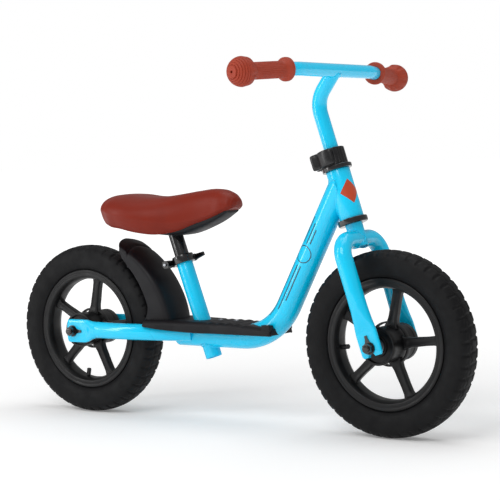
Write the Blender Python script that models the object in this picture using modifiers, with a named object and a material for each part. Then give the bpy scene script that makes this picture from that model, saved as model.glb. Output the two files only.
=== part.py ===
"""Balance bike for a toddler: steel frame and fork, moulded five-spoke wheels, footrest,
rear mudguard, quick-release saddle and handlebar.

Metres, +Z up, +X forwards, +Y to the rider's left. The origin lies on the ground midway
between the two axles.
"""
import math

import bmesh
import bpy
from mathutils import Matrix, Vector

# --- driving dimensions -------------------------------------------------------------
GAP = 0.0003                    # between pieces that touch
WHEELBASE = 0.625
WHEEL_R = 0.152                 # 12 inch wheel
TYRE_HALF_WIDTH = 0.0255
RIM_OPENING_R = 0.0905
RIM_FLANGE_R = 0.107
RIM_HALF_WIDTH = 0.0185
HUB_R = 0.031
HUB_HALF = 0.040
SPOKES = 5
REAR_SPOKE_ANGLE = math.radians(8)     # first spoke above +X
FRONT_SPOKE_ANGLE = math.radians(6)
AXLE_R = 0.0049
NUT_FLATS = 0.0150

HEAD_TILT = math.radians(18)    # steering axis leans back, through the front axle
SEAT_TILT = math.radians(20)    # seat tube leans back
MAIN_TUBE_R = 0.021
BOTTOM_TUBE_Z = 0.151
BOTTOM_TUBE_REAR_X = -0.109
DOWN_TUBE_TILT = math.radians(28.3)
MAIN_BEND_R = 0.108
MAIN_CORNER_X = 0.090           # where down tube and bottom tube centrelines meet
TUBE_WALL = 0.0016

HEAD_TUBE_R = 0.020
HEAD_TUBE_BORE_R = 0.0171
HEAD_TUBE_LOW, HEAD_TUBE_HIGH = 0.2115, 0.2940      # along the steering axis
STEERER_R = 0.0143
STEERER_BORE_R = 0.0127
STEERER_LOW, STEERER_HIGH = 0.1635, 0.3260
HEADSET_R = 0.0250
CLAMP_LOW, CLAMP_HIGH = 0.3016, 0.3300
LEVER_PIN_Y = -0.0160           # pin of the handlebar clamp's lever
STEM_R = 0.0123
STEM_LOW = 0.232
STEM_CORNER = 0.414             # along the steering axis
STEM_BEND_R = 0.045
BAR_R = 0.0111
BAR_X, BAR_Z = 0.2200, 0.594
BAR_CORNER_Y = 0.110
BAR_SWEEP = math.radians(10)
BAR_DROOP = math.radians(3)
BAR_BEND_R = 0.090
GRIP_START = 0.022              # along the swept end, from its corner
GRIP_LENGTH = 0.122

LEG_Y = 0.059
LEG_R = 0.0142
LEG_BEND_R = 0.054
CROWN_HEIGHT = 0.1765
LEG_END = -0.0140
SLOT_HALF = 0.0052

SEAT_ORIGIN_X = -0.0535         # where the seat tube's axis crosses SEAT_ORIGIN_Z
SEAT_ORIGIN_Z = 0.152
SEAT_TUBE_R = 0.0143
SEAT_TUBE_BORE_R = 0.0130
SEAT_TUBE_LOW, SEAT_TUBE_HIGH = -0.0420, 0.1330
SEAT_POST_R = 0.0126
SEAT_POST_LOW, SEAT_POST_HIGH = 0.020, 0.2060
SEAT_CLAMP_LOW, SEAT_CLAMP_HIGH = 0.1300, 0.1440

SEAT_PIN_Y = 0.0150             # pin of the seat clamp's lever

STAY_Y = 0.053
STAY_Z = 0.1555
STAY_R = 0.0143
PLATE_HALF_THICK = 0.0040

PAN_GAP = 0.0010                 # round the saddle's pan

FOOTREST_TOP = 0.1770
FOOTREST_LOW = 0.1570
FOOTREST_BEND_X = 0.022         # the top slopes down in front of this
FOOTREST_SLOPE = math.tan(math.radians(5))
FOOTREST_WALL = 0.0028
GUARD_WALL = 0.0026

REAR_AXLE = Vector((-WHEELBASE / 2, 0, WHEEL_R))
FRONT_AXLE = Vector((WHEELBASE / 2, 0, WHEEL_R))
SEAT_ORIGIN = Vector((SEAT_ORIGIN_X, 0, SEAT_ORIGIN_Z))

SIDES = (("right", -1), ("left", 1))
ROUND_STEPS = 24                # sides of a wheel
TUBE_STEPS = 20                 # sides of a tube

LOOKS = {                       # name: colour, roughness, metallic
    "blue_paint": ((0.010, 0.420, 0.830, 1), 0.25, 0.2),
    "black_plastic": ((0.012, 0.012, 0.014, 1), 0.50, 0.0),
    "black_metal": ((0.010, 0.010, 0.012, 1), 0.30, 0.6),
    "steel": ((0.45, 0.45, 0.46, 1), 0.30, 1.0),
    "tyre_rubber": ((0.012, 0.012, 0.012, 1), 0.75, 0.0),
    "grip_rubber": ((0.330, 0.062, 0.045, 1), 0.65, 0.0),
    "saddle_cover": ((0.235, 0.028, 0.012, 1), 0.45, 0.0),
}


# --- helpers ------------------------------------------------------------------------
def clear_scene():
    for obj in list(bpy.data.objects):
        bpy.data.objects.remove(obj, do_unlink=True)


def new_collection(name):
    made = bpy.data.collections.new(name)
    bpy.context.scene.collection.children.link(made)
    return made


def look(name):
    """The material of this finish, made once."""
    if name in bpy.data.materials:
        return bpy.data.materials[name]
    colour, roughness, metallic = LOOKS[name]
    made = bpy.data.materials.new(name)
    made.use_nodes = True
    shader = made.node_tree.nodes["Principled BSDF"]
    shader.inputs["Base Color"].default_value = colour
    shader.inputs["Roughness"].default_value = roughness
    shader.inputs["Metallic"].default_value = metallic
    return made


def add(name, mesh, finish=None, parent=None):
    """Links a mesh object to the bike's collection, or, without a finish, to the cutters."""
    obj = bpy.data.objects.new(name, mesh)
    if finish is None:
        bpy.data.collections["cutters"].objects.link(obj)
        obj.hide_render = True
        obj.display_type = "WIRE"
    else:
        bpy.data.collections["balance_bike"].objects.link(obj)
        own = look(finish).copy()
        own.name = name + "_" + finish
        mesh.materials.append(own)
    obj.parent = parent
    return obj


def empty(name, location, tilt=0.0, parent=None):
    """A frame of reference that leans back by tilt about Y."""
    obj = bpy.data.objects.new(name, None)
    bpy.data.collections["balance_bike"].objects.link(obj)
    obj.location = location
    obj.rotation_euler = (0, -tilt, 0)
    obj.parent = parent
    return obj


def smooth(obj, angle=40):
    obj.data.shade_smooth()
    obj.data.set_sharp_from_angle(angle=math.radians(angle))


def turned(name, profile, finish=None, parent=None, steps=TUBE_STEPS, across=False):
    """A ring or solid turned about Z, or about Y when across. Profile: (radius, height)."""
    area = sum(a[0] * b[1] - b[0] * a[1] for a, b in zip(profile, profile[1:] + profile[:1]))
    points = list(profile) if area < 0 else list(profile)[::-1]
    on_axis = [i for i, p in enumerate(points) if p[0] == 0]
    edges = [(i, (i + 1) % len(points)) for i in range(len(points))]
    edges = [e for e in edges if not (e[0] in on_axis and e[1] in on_axis)]
    mesh = bpy.data.meshes.new(name)
    mesh.from_pydata([(r, 0, z) for r, z in points], edges, [])
    obj = add(name, mesh, finish, parent)
    screw = obj.modifiers.new("Turn", "SCREW")
    screw.steps = steps
    screw.render_steps = steps
    screw.use_merge_vertices = True
    screw.merge_threshold = 0.00001
    screw.use_smooth_shade = True
    if across:
        obj.rotation_euler = (-math.pi / 2, 0, 0)
    return obj


def ring_profile(inner, outer, low, high, chamfer=0.0):
    c = chamfer
    if c == 0:
        return [(inner, low), (outer, low), (outer, high), (inner, high)]
    return [(inner, low), (outer - c, low), (outer, low + c), (outer, high - c),
            (outer - c, high), (inner, high)]


def rod_profile(radius, low, high, chamfer=0.0):
    c = chamfer
    return [(0, low), (radius - c, low), (radius, low + c), (radius, high - c),
            (radius - c, high), (0, high)] if c else [(0, low), (radius, low), (radius, high), (0, high)]


def rounded_path(corners, radii, steps=6):
    """Points along straight runs joined by arcs: one radius for each inner corner."""
    points = [Vector(corners[0])]
    for before, corner, after, radius in zip(corners, corners[1:], corners[2:], radii):
        corner = Vector(corner)
        back = (Vector(before) - corner).normalized()
        ahead = (Vector(after) - corner).normalized()
        half = back.angle(ahead) / 2
        reach = radius / math.tan(half)
        centre = corner + (back + ahead).normalized() * radius / math.sin(half)
        out = (corner + back * reach - centre).normalized()
        turn = math.pi - 2 * half
        for i in range(steps + 1):
            swept = turn * i / steps
            points.append(centre + (out * math.cos(swept) - back * math.sin(swept)) * radius)
    points.append(Vector(corners[-1]))
    return points


def tube(name, points, radius, finish=None, parent=None, resolution=4, wall=0.0):
    """A round tube along a path. With a wall it is hollow and open at both ends."""
    curve = bpy.data.curves.new(name, "CURVE")
    curve.dimensions = "3D"
    curve.bevel_depth = radius
    curve.bevel_resolution = resolution
    curve.use_fill_caps = True
    spline = curve.splines.new("POLY")
    spline.points.add(len(points) - 1)
    for point, co in zip(spline.points, points):
        point.co = (*co, 1)
    guide = bpy.data.objects.new(name + "_path", curve)
    bpy.context.scene.collection.objects.link(guide)
    graph = bpy.context.evaluated_depsgraph_get()
    mesh = bpy.data.meshes.new_from_object(guide.evaluated_get(graph))
    bpy.data.objects.remove(guide, do_unlink=True)
    bpy.data.curves.remove(curve)
    mesh.materials.clear()
    weld(mesh)
    if wall:
        open_ends(mesh)
    obj = add(name, mesh, finish, parent)
    if wall:
        thicken(obj, wall)
    smooth(obj)
    return obj


def weld(mesh):
    """Joins a curve's loose caps to its side, and turns every face outwards."""
    bm = bmesh.new()
    bm.from_mesh(mesh)
    bmesh.ops.remove_doubles(bm, verts=bm.verts, dist=0.00001)
    bmesh.ops.recalc_face_normals(bm, faces=bm.faces)
    bm.to_mesh(mesh)
    bm.free()


def open_ends(mesh):
    """Takes the end caps, its only faces that don't have four corners, off a tube."""
    bm = bmesh.new()
    bm.from_mesh(mesh)
    caps = [face for face in bm.faces if len(face.verts) != 4]
    bmesh.ops.delete(bm, geom=caps, context="FACES_ONLY")
    bm.to_mesh(mesh)
    bm.free()


def thicken(obj, wall):
    shell = obj.modifiers.new("Wall", "SOLIDIFY")
    shell.thickness = wall
    shell.offset = -1
    shell.use_even_offset = True
    return shell


def loft(name, rings, finish=None, parent=None, closed=True, caps=True):
    """A skin through rings of equal point counts: closed rings make a tube, open ones a sheet."""
    count = len(rings[0])
    points = [tuple(p) for ring in rings for p in ring]
    faces = []
    for i in range(len(rings) - 1):
        for j in range(count if closed else count - 1):
            k = (j + 1) % count
            faces.append((i * count + j, i * count + k, (i + 1) * count + k, (i + 1) * count + j))
    if closed:
        faces.append(tuple(range(count)))
        faces.append(tuple(range((len(rings) - 1) * count, len(rings) * count)))
    mesh = bpy.data.meshes.new(name)
    mesh.from_pydata(points, [], faces)
    weld(mesh)
    if closed and not caps:
        open_ends(mesh)
    obj = add(name, mesh, finish, parent)
    smooth(obj)
    return obj


def plate(name, outline, low, high, finish=None, parent=None, plane="XZ"):
    """A flat outline given thickness from low to high, lying in plane XZ (across Y) or XY."""
    curve = bpy.data.curves.new(name, "CURVE")
    curve.dimensions = "2D"
    curve.fill_mode = "BOTH"
    curve.extrude = (high - low) / 2
    spline = curve.splines.new("POLY")
    spline.points.add(len(outline) - 1)
    for point, co in zip(spline.points, outline):
        point.co = (co[0], co[1], 0, 1)
    spline.use_cyclic_u = True
    guide = bpy.data.objects.new(name + "_outline", curve)
    bpy.context.scene.collection.objects.link(guide)
    graph = bpy.context.evaluated_depsgraph_get()
    mesh = bpy.data.meshes.new_from_object(guide.evaluated_get(graph))
    bpy.data.objects.remove(guide, do_unlink=True)
    bpy.data.curves.remove(curve)
    mesh.materials.clear()
    middle = (low + high) / 2
    turn = Matrix.Rotation(math.pi / 2, 4, "X") if plane == "XZ" else Matrix.Identity(4)
    shift = Vector((0, middle, 0)) if plane == "XZ" else Vector((0, 0, middle))
    mesh.transform(Matrix.Translation(shift) @ turn)
    weld(mesh)
    return add(name, mesh, finish, parent)


def block(name, low, high, finish=None, parent=None):
    """A box between two corners."""
    bm = bmesh.new()
    bmesh.ops.create_cube(bm, size=1)
    size = Vector(high) - Vector(low)
    centre = (Vector(high) + Vector(low)) / 2
    bm.transform(Matrix.Translation(centre) @ Matrix.Diagonal((*size, 1)))
    mesh = bpy.data.meshes.new(name)
    bm.to_mesh(mesh)
    bm.free()
    return add(name, mesh, finish, parent)


def hex_nut(name, low, high, finish, parent=None):
    """A hexagon nut on the Y axis, before it is bored."""
    bm = bmesh.new()
    place = Matrix.Translation((0, (low + high) / 2, 0)) @ Matrix.Rotation(math.pi / 2, 4, "X")
    radius = NUT_FLATS / math.sqrt(3)
    bmesh.ops.create_cone(bm, cap_ends=True, segments=6, radius1=radius, radius2=radius,
                          depth=high - low, matrix=place)
    mesh = bpy.data.meshes.new(name)
    bm.to_mesh(mesh)
    bm.free()
    return add(name, mesh, finish, parent)


def cross_rod(name, radius, low, high, parent=None, x=0.0, z=0.0, steps=12, finish=None):
    """A plain rod along Y, between low and high."""
    obj = turned(name, rod_profile(radius, low, high), finish, parent, steps=steps, across=True)
    obj.location = (x, 0, z)
    return obj


def cut(obj, cutter):
    """Takes the cutter's shape out of the object."""
    return boolean(obj, cutter, "DIFFERENCE")


def join(obj, other):
    """Adds the other shape to the object, which keeps its own name."""
    for home in list(other.users_collection):
        home.objects.unlink(other)
    bpy.data.collections["cutters"].objects.link(other)
    other.hide_render = True
    other.display_type = "WIRE"
    return boolean(obj, other, "UNION")


def boolean(obj, other, operation):
    step = obj.modifiers.new(operation.title(), "BOOLEAN")
    step.operation = operation
    step.solver = "EXACT"
    step.object = other
    return obj


def arc(centre, radius, start, end, steps):
    """Points of an arc in a plane, angles in degrees."""
    angles = [math.radians(start + (end - start) * i / steps) for i in range(steps + 1)]
    return [(centre[0] + radius * math.cos(a), centre[1] + radius * math.sin(a)) for a in angles]


# --- wheels -------------------------------------------------------------------------
def rim_profile():
    """Channel section of the rim: seat for the tyre's beads between two flanges."""
    flange = RIM_HALF_WIDTH
    inner = flange - 0.0025
    seat, well = 0.0975, 0.0940
    right = [(RIM_OPENING_R, 0.0095), (0.0950, flange), (RIM_FLANGE_R, flange),
             (RIM_FLANGE_R, inner), (seat, inner), (well, 0.0080)]
    return right + [(r, -y) for r, y in reversed(right)]


def hub_profile():
    """Barrel with bearing pockets at both ends and a shallow ring recess in each face."""
    right = [(0.0085, 0.0313), (0.0130, 0.0313), (0.0130, HUB_HALF), (0.0170, HUB_HALF),
             (0.0170, 0.0350), (0.0270, 0.0350), (0.0270, HUB_HALF), (HUB_R, HUB_HALF)]
    return right + [(r, -y) for r, y in reversed(right)]


def spoke_outline(angle):
    """One spoke seen along the axle: wide at the hub, waisted, flared into the rim."""
    half = [(0.0290, 0.0105), (0.0390, 0.0085), (0.0550, 0.0078), (0.0800, 0.0072),
            (0.0880, 0.0080), (0.0922, 0.0105)]
    edge = [(r, w) for r, w in half] + [(r, -w) for r, w in reversed(half)]
    ca, sa = math.cos(angle), math.sin(angle)
    return [(r * ca - w * sa, r * sa + w * ca) for r, w in edge]


def wheel(name, first_spoke, valve_angle, parent):
    """Rim, five spokes, root ring and hub, moulded in one piece."""
    obj = turned(name, rim_profile(), "black_plastic", parent, steps=ROUND_STEPS, across=True)
    join(obj, turned(name + "_hub", hub_profile(), None, parent, steps=16, across=True))
    join(obj, turned(name + "_root_ring", ring_profile(0.0338, 0.0368, -0.0045, 0.0045), None,
                     parent, steps=16, across=True))
    for k in range(SPOKES):
        outline = spoke_outline(first_spoke + 2 * math.pi * k / SPOKES)
        join(obj, plate("%s_spoke_%d" % (name, k + 1), outline, -0.0070, 0.0070, None, parent))
    hole = rod_profile(0.0033, 0.080, 0.110)
    cut(obj, valve_rod(name + "_valve_hole", hole, valve_angle, parent))


def valve_rod(name, profile, angle, parent, finish=None):
    """A turned piece that lies along a radius of the wheel at this angle."""
    obj = turned(name, profile, finish, parent, steps=12)
    obj.rotation_euler = (0, math.pi / 2 - angle, 0)
    return obj


def tyre_profile():
    """Open U section: beads inside the rim's flanges, round walls and a flatter tread."""
    bead = RIM_HALF_WIDTH - 0.0025 - GAP
    wide = TYRE_HALF_WIDTH
    outer = [(0.0979, bead), (0.1082, bead), (0.1170, 0.0235), (0.1290, wide), (0.1480, 0.0195),
             (WHEEL_R, 0.0090)]
    inner = [(0.1465, 0.0080), (0.1390, 0.0190), (0.1220, 0.0205), (0.0979, bead - 0.0040)]
    return outer + [(r, -y) for r, y in reversed(outer)] + \
        [(r, -y) for r, y in reversed(inner)] + inner


def inner_tube(name, valve_angle, parent):
    """Thin round tube filling the tyre, and its valve stem, bored through to the air."""
    centre, outer, inner = 0.1272, 0.0182, 0.0166
    obj = turned(name, arc((centre, 0), outer, 0, 300, 5), "tyre_rubber", parent,
                 steps=ROUND_STEPS, across=True)
    join(obj, valve_rod(name + "_stem", rod_profile(0.0028, 0.0800, 0.1110), valve_angle, parent))
    cut(obj, turned(name + "_air", arc((centre, 0), inner, 0, 300, 5), None, parent,
                    steps=ROUND_STEPS, across=True))
    cut(obj, valve_rod(name + "_air_way", rod_profile(0.0012, 0.070, 0.1200), valve_angle, parent))


def wheel_set(end, axle_at, first_spoke, valve_gap, parent):
    """Wheel, tyre, inner tube, valve cap and hub bearings, centred on their axle."""
    hub = empty(end + "_wheel_centre", axle_at, 0, parent)
    angle = first_spoke + 2 * math.pi * valve_gap / SPOKES
    wheel(end + "_wheel", first_spoke, angle, hub)
    turned(end + "_tyre", tyre_profile(), "tyre_rubber", hub, steps=ROUND_STEPS, across=True)
    inner_tube(end + "_inner_tube", angle, hub)
    cap = [(0, 0.0765), (0.0030, 0.0765), (0.0040, 0.0775), (0.0040, 0.0890), (0.0031, 0.0890),
           (0.0031, 0.0797), (0, 0.0797)]
    valve_rod(end + "_valve_cap", cap, angle, hub, "black_plastic")
    for word, side in SIDES:
        low, high = sorted((side * 0.0317, side * 0.0397))
        turned("%s_%s_bearing" % (end, word), ring_profile(0.0053, 0.0126, low, high), "steel", hub,
               steps=16, across=True)
    return hub


def axle_set(end, hub, mount_inner, mount_outer, tab_angle):
    """Axle, spacers, tab washers and nuts. The mount is the plate between inner and outer."""
    washer_low = mount_outer + GAP
    washer_high = washer_low + 0.0015
    nut_low = washer_high + GAP
    nut_high = nut_low + 0.0080
    cross_rod(end + "_axle", AXLE_R, -nut_high - 0.004, nut_high + 0.004, hub, finish="steel")
    bore = AXLE_R + 0.0004
    for word, side in SIDES:
        name = end + "_" + word
        low, high = sorted((side * (HUB_HALF + GAP), side * (mount_inner - GAP)))
        turned(name + "_spacer", ring_profile(bore, 0.0095, low, high), "steel", hub, steps=16,
               across=True)
        low, high = sorted((side * washer_low, side * washer_high))
        washer = plate(name + "_tab_washer", tab_outline(tab_angle), low, high, "black_metal", hub)
        low, high = sorted((side * nut_low, side * nut_high))
        nut = hex_nut(name + "_nut", low, high, "black_metal", hub)
        for piece in (washer, nut):
            cut(piece, cross_rod(piece.name + "_bore", bore, -0.2, 0.2, hub))


def tab_outline(angle):
    """Round washer with one tab that points along this angle."""
    points = arc((0, 0), 0.0105, 24, 336, 10) + [(0.0150, -0.0026), (0.0205, -0.0022),
                                                (0.0205, 0.0022), (0.0150, 0.0026)]
    ca, sa = math.cos(angle), math.sin(angle)
    return [(x * ca - z * sa, x * sa + z * ca) for x, z in points]


# --- frame --------------------------------------------------------------------------
def main_tube_path():
    """Centreline of the down tube and the bottom tube, one bent tube."""
    up = Vector((math.sin(DOWN_TUBE_TILT), 0, math.cos(DOWN_TUBE_TILT)))
    corner = Vector((MAIN_CORNER_X, 0, BOTTOM_TUBE_Z))
    head = corner + up * 0.292
    rear = Vector((BOTTOM_TUBE_REAR_X, 0, BOTTOM_TUBE_Z))
    return rounded_path([rear, corner, head], [MAIN_BEND_R], steps=5)


def main_tube(steering, seat):
    obj = tube("main_tube", main_tube_path(), MAIN_TUBE_R, "blue_paint", resolution=6,
               wall=TUBE_WALL)
    cut(obj, turned("head_tube_cope", rod_profile(HEAD_TUBE_R + 0.0005, 0.15, 0.36), None, steering))
    cut(obj, turned("headset_relief", rod_profile(HEADSET_R + 0.0006, 0.15, HEAD_TUBE_LOW + GAP), None,
                    steering))
    cut(obj, turned("seat_tube_cope", rod_profile(SEAT_TUBE_R + 0.0004, -0.05, 0.05), None, seat))


def head_set(steering):
    """Head tube with its two bearing rings and their outer covers."""
    turned("head_tube", ring_profile(HEAD_TUBE_BORE_R, HEAD_TUBE_R, HEAD_TUBE_LOW, HEAD_TUBE_HIGH),
           "blue_paint", steering)
    bore = STEERER_R + 0.0006
    lower = ring_profile(bore, HEADSET_R, HEAD_TUBE_LOW - 0.0098, HEAD_TUBE_LOW - GAP)
    upper = ring_profile(bore, HEADSET_R, HEAD_TUBE_HIGH + GAP, CLAMP_LOW - GAP)
    turned("lower_headset_cover", lower, "black_metal", steering)
    turned("upper_headset_cover", upper, "black_metal", steering)
    for name, low in (("lower_headset_bearing", HEAD_TUBE_LOW + 0.0003),
                      ("upper_headset_bearing", HEAD_TUBE_HIGH - 0.0063)):
        turned(name, ring_profile(bore, HEAD_TUBE_BORE_R - 0.0005, low, low + 0.0060), "steel",
               steering, steps=16)


def seat_tube(seat):
    turned("seat_tube", ring_profile(SEAT_TUBE_BORE_R, SEAT_TUBE_R, SEAT_TUBE_LOW, SEAT_TUBE_HIGH),
           "blue_paint", seat)


def section(centre, across, along, a, b, power, count=12):
    """A superellipse ring: half width a along one direction and b along the other."""
    ring = []
    for i in range(count):
        t = 2 * math.pi * i / count
        c, s = math.cos(t), math.sin(t)
        ca = math.copysign(abs(c) ** (2 / power), c)
        sb = math.copysign(abs(s) ** (2 / power), s)
        ring.append(centre + across * a * ca + along * b * sb)
    return ring


def stay(name, side):
    """Chainstay: a tube squashed into an upright plate at the axle, let into the bottom tube."""
    up = Vector((0, 0, 1))
    rear_x = REAR_AXLE.x
    stations = [  # x, y, half height, half thickness, squareness
        (rear_x - 0.0130, STAY_Y, 0.0180, PLATE_HALF_THICK, 4.0),
        (rear_x - 0.0100, STAY_Y, 0.0208, PLATE_HALF_THICK, 4.0),
        (rear_x + 0.0290, STAY_Y, 0.0208, PLATE_HALF_THICK, 4.0),
        (rear_x + 0.0410, STAY_Y, 0.0165, 0.0070, 2.6),
        (rear_x + 0.0540, STAY_Y - 0.0010, STAY_R, 0.0100, 2.0),
        (-0.1850, STAY_Y - 0.0020, STAY_R, 0.0115, 2.0),
        (-0.1560, STAY_Y - 0.0065, STAY_R, 0.0120, 2.0),
        (-0.1250, STAY_Y - 0.0170, STAY_R, 0.0120, 2.0),
        (-0.0950, STAY_Y - 0.0290, STAY_R, 0.0120, 2.0),
        (-0.0700, STAY_Y - 0.0390, STAY_R, 0.0120, 2.0),
    ]
    rings = []
    for i, (x, y, high, thick, power) in enumerate(stations):
        before = stations[max(i - 1, 0)]
        after = stations[min(i + 1, len(stations) - 1)]
        ahead = Vector((after[0] - before[0], side * (after[1] - before[1]), 0)).normalized()
        level = WHEEL_R + (STAY_Z - WHEEL_R) * min(i / 4, 1)
        rings.append(section(Vector((x, side * y, level)), ahead.cross(up), up, thick, high, power))
    obj = loft(name, rings, "blue_paint", caps=False)
    thicken(obj, TUBE_WALL)
    cut(obj, tube(name + "_cope", main_tube_path(), MAIN_TUBE_R + GAP, resolution=6))
    slot = plate(name + "_slot", [(rear_x - 0.05, WHEEL_R - SLOT_HALF), (rear_x, WHEEL_R - SLOT_HALF)]
                 + arc((rear_x, WHEEL_R), SLOT_HALF, -75, 75, 8)
                 + [(rear_x, WHEEL_R + SLOT_HALF), (rear_x - 0.05, WHEEL_R + SLOT_HALF)], -0.1, 0.1)
    cut(obj, slot)
    return obj


def footrest_outline(inset):
    """Half of the footrest in plan, front to rear; inset moves the edge inwards."""
    return [(0.1030 - inset, 0.0200), (0.1030 - inset, 0.0330 - inset), (0.0990 - inset, 0.0355 - inset),
            (-0.0200, 0.0375 - inset), (-0.0900, 0.0480 - inset), (-0.1250, 0.0575 - inset),
            (-0.1480 + inset, 0.0615 - inset), (-0.1520 + inset, 0.0590 - inset)]


def footrest(seat):
    """Plastic foot board with a skirt, notched round the two tubes, and two end blocks."""
    def full(inset):
        half = footrest_outline(inset)
        return half + [(x, -y) for x, y in reversed(half)]

    def above(drop):
        ends = [(x, FOOTREST_TOP - drop + (FOOTREST_BEND_X - x) * FOOTREST_SLOPE) for x in (-0.01, 0.13)]
        return ends + [(0.13, 0.2), (-0.01, 0.2)]
    obj = plate("footrest", full(0), FOOTREST_LOW, FOOTREST_TOP, "black_plastic", plane="XY")
    hollow = plate("footrest_hollow", full(FOOTREST_WALL), 0.14, FOOTREST_TOP - FOOTREST_WALL,
                   plane="XY")
    cut(hollow, plate("hollow_slope", above(FOOTREST_WALL), -0.1, 0.1))
    cut(obj, plate("footrest_slope", above(0), -0.1, 0.1))
    for word, side in SIDES:
        low, high = sorted((side * 0.0225, side * 0.0345))
        join(obj, block("footrest_end_block_" + word, (0.0850, low, 0.1640), (0.1020, high, 0.1760)))
    cut(obj, hollow)
    cut(obj, tube("footrest_notch", main_tube_path(), MAIN_TUBE_R + 0.0008, resolution=6))
    cut(obj, turned("footrest_seat_hole", rod_profile(SEAT_TUBE_R + 0.0008, 0, 0.06), None, seat))
    cut(obj, block("footrest_stay_relief", (-0.2, -0.0583, 0.12), (-0.1470, 0.0583,
                                                                  STAY_Z + STAY_R + GAP)))
    cut(obj, plate("footrest_skirt_line", [(-0.2, 0.12), (-0.04, 0.12), (-0.04, 0.1564),
                                           (-0.088, 0.1589), (-0.12, 0.1617), (-0.2, 0.1724)],
                   -0.1, 0.1))


def footrest_bracket(name, middle):
    """Steel saddle over the bottom tube that carries the footrest at this place along it."""
    top = FOOTREST_TOP - FOOTREST_WALL - GAP
    rear, front = middle - 0.0110, middle + 0.0110
    obj = block(name, (rear, -0.0300, top - 0.0025), (front, 0.0300, top), "blue_paint")
    for word, side in SIDES:
        low, high = sorted((side * 0.0222, side * 0.0250))
        join(obj, block(name + "_leg_" + word, (rear, low, 0.1600), (front, high, top - 0.001)))
    cut(obj, tube(name + "_cope", main_tube_path(), MAIN_TUBE_R + GAP, resolution=6))
    hole = turned(name + "_hole", rod_profile(0.0024, 0.17, 0.19), None, steps=12)
    hole.location.x = middle
    cut(obj, hole)
    cut(bpy.data.objects["footrest"], hole)


def footrest_screw(name, middle):
    """Pan-head screw through the footrest into its bracket."""
    head = FOOTREST_TOP + GAP
    profile = [(0, 0.1736), (0.0020, 0.1736), (0.0020, head), (0.0045, head),
               (0.0045, head + 0.0010), (0.0030, head + 0.0022), (0, head + 0.0022)]
    obj = turned(name, profile, "steel", steps=12)
    obj.location.x = middle


def guard_ring(share):
    """One cross-section of the mudguard, a share of the way from its foot to its tail."""
    end = math.radians(61)
    flick = max(0.0, (share - 0.86) / 0.14)
    crest = 0.2060 - 0.030 * share ** 1.15 + 0.003 * flick
    half = 0.0350 + 0.0060 * flick
    lip = 0.1640 + 0.004 * share
    shape = [(lip, half), ((lip + crest) / 2 - 0.004, half), (crest - 0.0120, half * 0.93),
             (crest - 0.0045, half * 0.70), (crest - 0.0010, half * 0.36), (crest, 0)]
    shape = shape + [(r, -y) for r, y in reversed(shape[:-1])]
    ring = []
    for r, y in shape:
        foot = math.asin((FOOTREST_TOP + GAP - WHEEL_R) / r)
        angle = foot + (end - foot) * share
        ring.append(REAR_AXLE + Vector((r * math.cos(angle), y, r * math.sin(angle))))
    return ring


def rear_mudguard():
    rings = [guard_ring(i / 12) for i in range(13)]
    obj = loft("rear_mudguard", rings, "black_plastic", closed=False)
    shell = thicken(obj, GUARD_WALL)
    inside = sum((p.co - REAR_AXLE).dot(p.normal) for p in obj.data.vertices) < 0
    shell.offset = 1 if inside else -1
    cut(obj, block("guard_foot_plane", (-0.3, -0.1, 0.10), (0, 0.1, FOOTREST_TOP + GAP)))


# --- fork and steering --------------------------------------------------------------
def fork_leg(name, side, steering):
    """One fork leg: bent in at the crown, squashed into a slotted plate at the axle."""
    forward = Vector((1, 0, 0))
    y = side * LEG_Y
    path = rounded_path([(0, y, LEG_END), (0, y, CROWN_HEIGHT), (0, 0, CROWN_HEIGHT)],
                        [LEG_BEND_R], steps=5)
    straight_top = path[1].z
    sizes = [(LEG_END, 0.0170, 0.0042, 3.4), (LEG_END + 0.004, 0.0188, 0.0042, 3.6),
             (0.0230, 0.0188, 0.0042, 3.4), (0.0420, 0.0172, 0.0090, 2.4),
             (0.0650, 0.0155, 0.0125, 2.0), (0.0950, LEG_R, LEG_R, 2.0),
             (straight_top, LEG_R, LEG_R, 2.0)]
    out = Vector((0, 1, 0))
    rings = [section(Vector((0, y, z)), forward, out, a, b, power) for z, a, b, power in sizes]
    for i in range(2, len(path)):
        ahead = (path[min(i + 1, len(path) - 1)] - path[i - 1]).normalized()
        rings.append(section(path[i], forward, forward.cross(ahead) * -1, LEG_R, LEG_R, 2.0))
    obj = loft(name, rings, "blue_paint", steering, caps=False)
    thicken(obj, TUBE_WALL)
    cut(obj, turned(name + "_cope", rod_profile(STEERER_R + 0.0005, 0.1, 0.25), None, steering))
    cut(obj, plate(name + "_slot", [(-SLOT_HALF, -0.06), (SLOT_HALF, -0.06)]
                   + arc((0, 0), SLOT_HALF, 0, 180, 8), -0.1, 0.1, None, steering))
    return obj


def fork_steerer(steering):
    """Steerer tube: through the crown and the head tube, slit at the top for the clamp."""
    obj = turned("fork_steerer", ring_profile(STEERER_BORE_R, STEERER_R, STEERER_LOW, STEERER_HIGH),
                 "blue_paint", steering)
    cut(obj, block("steerer_slit", (-0.03, -0.0015, 0.304), (0, 0.0015, 0.34), None, steering))


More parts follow.
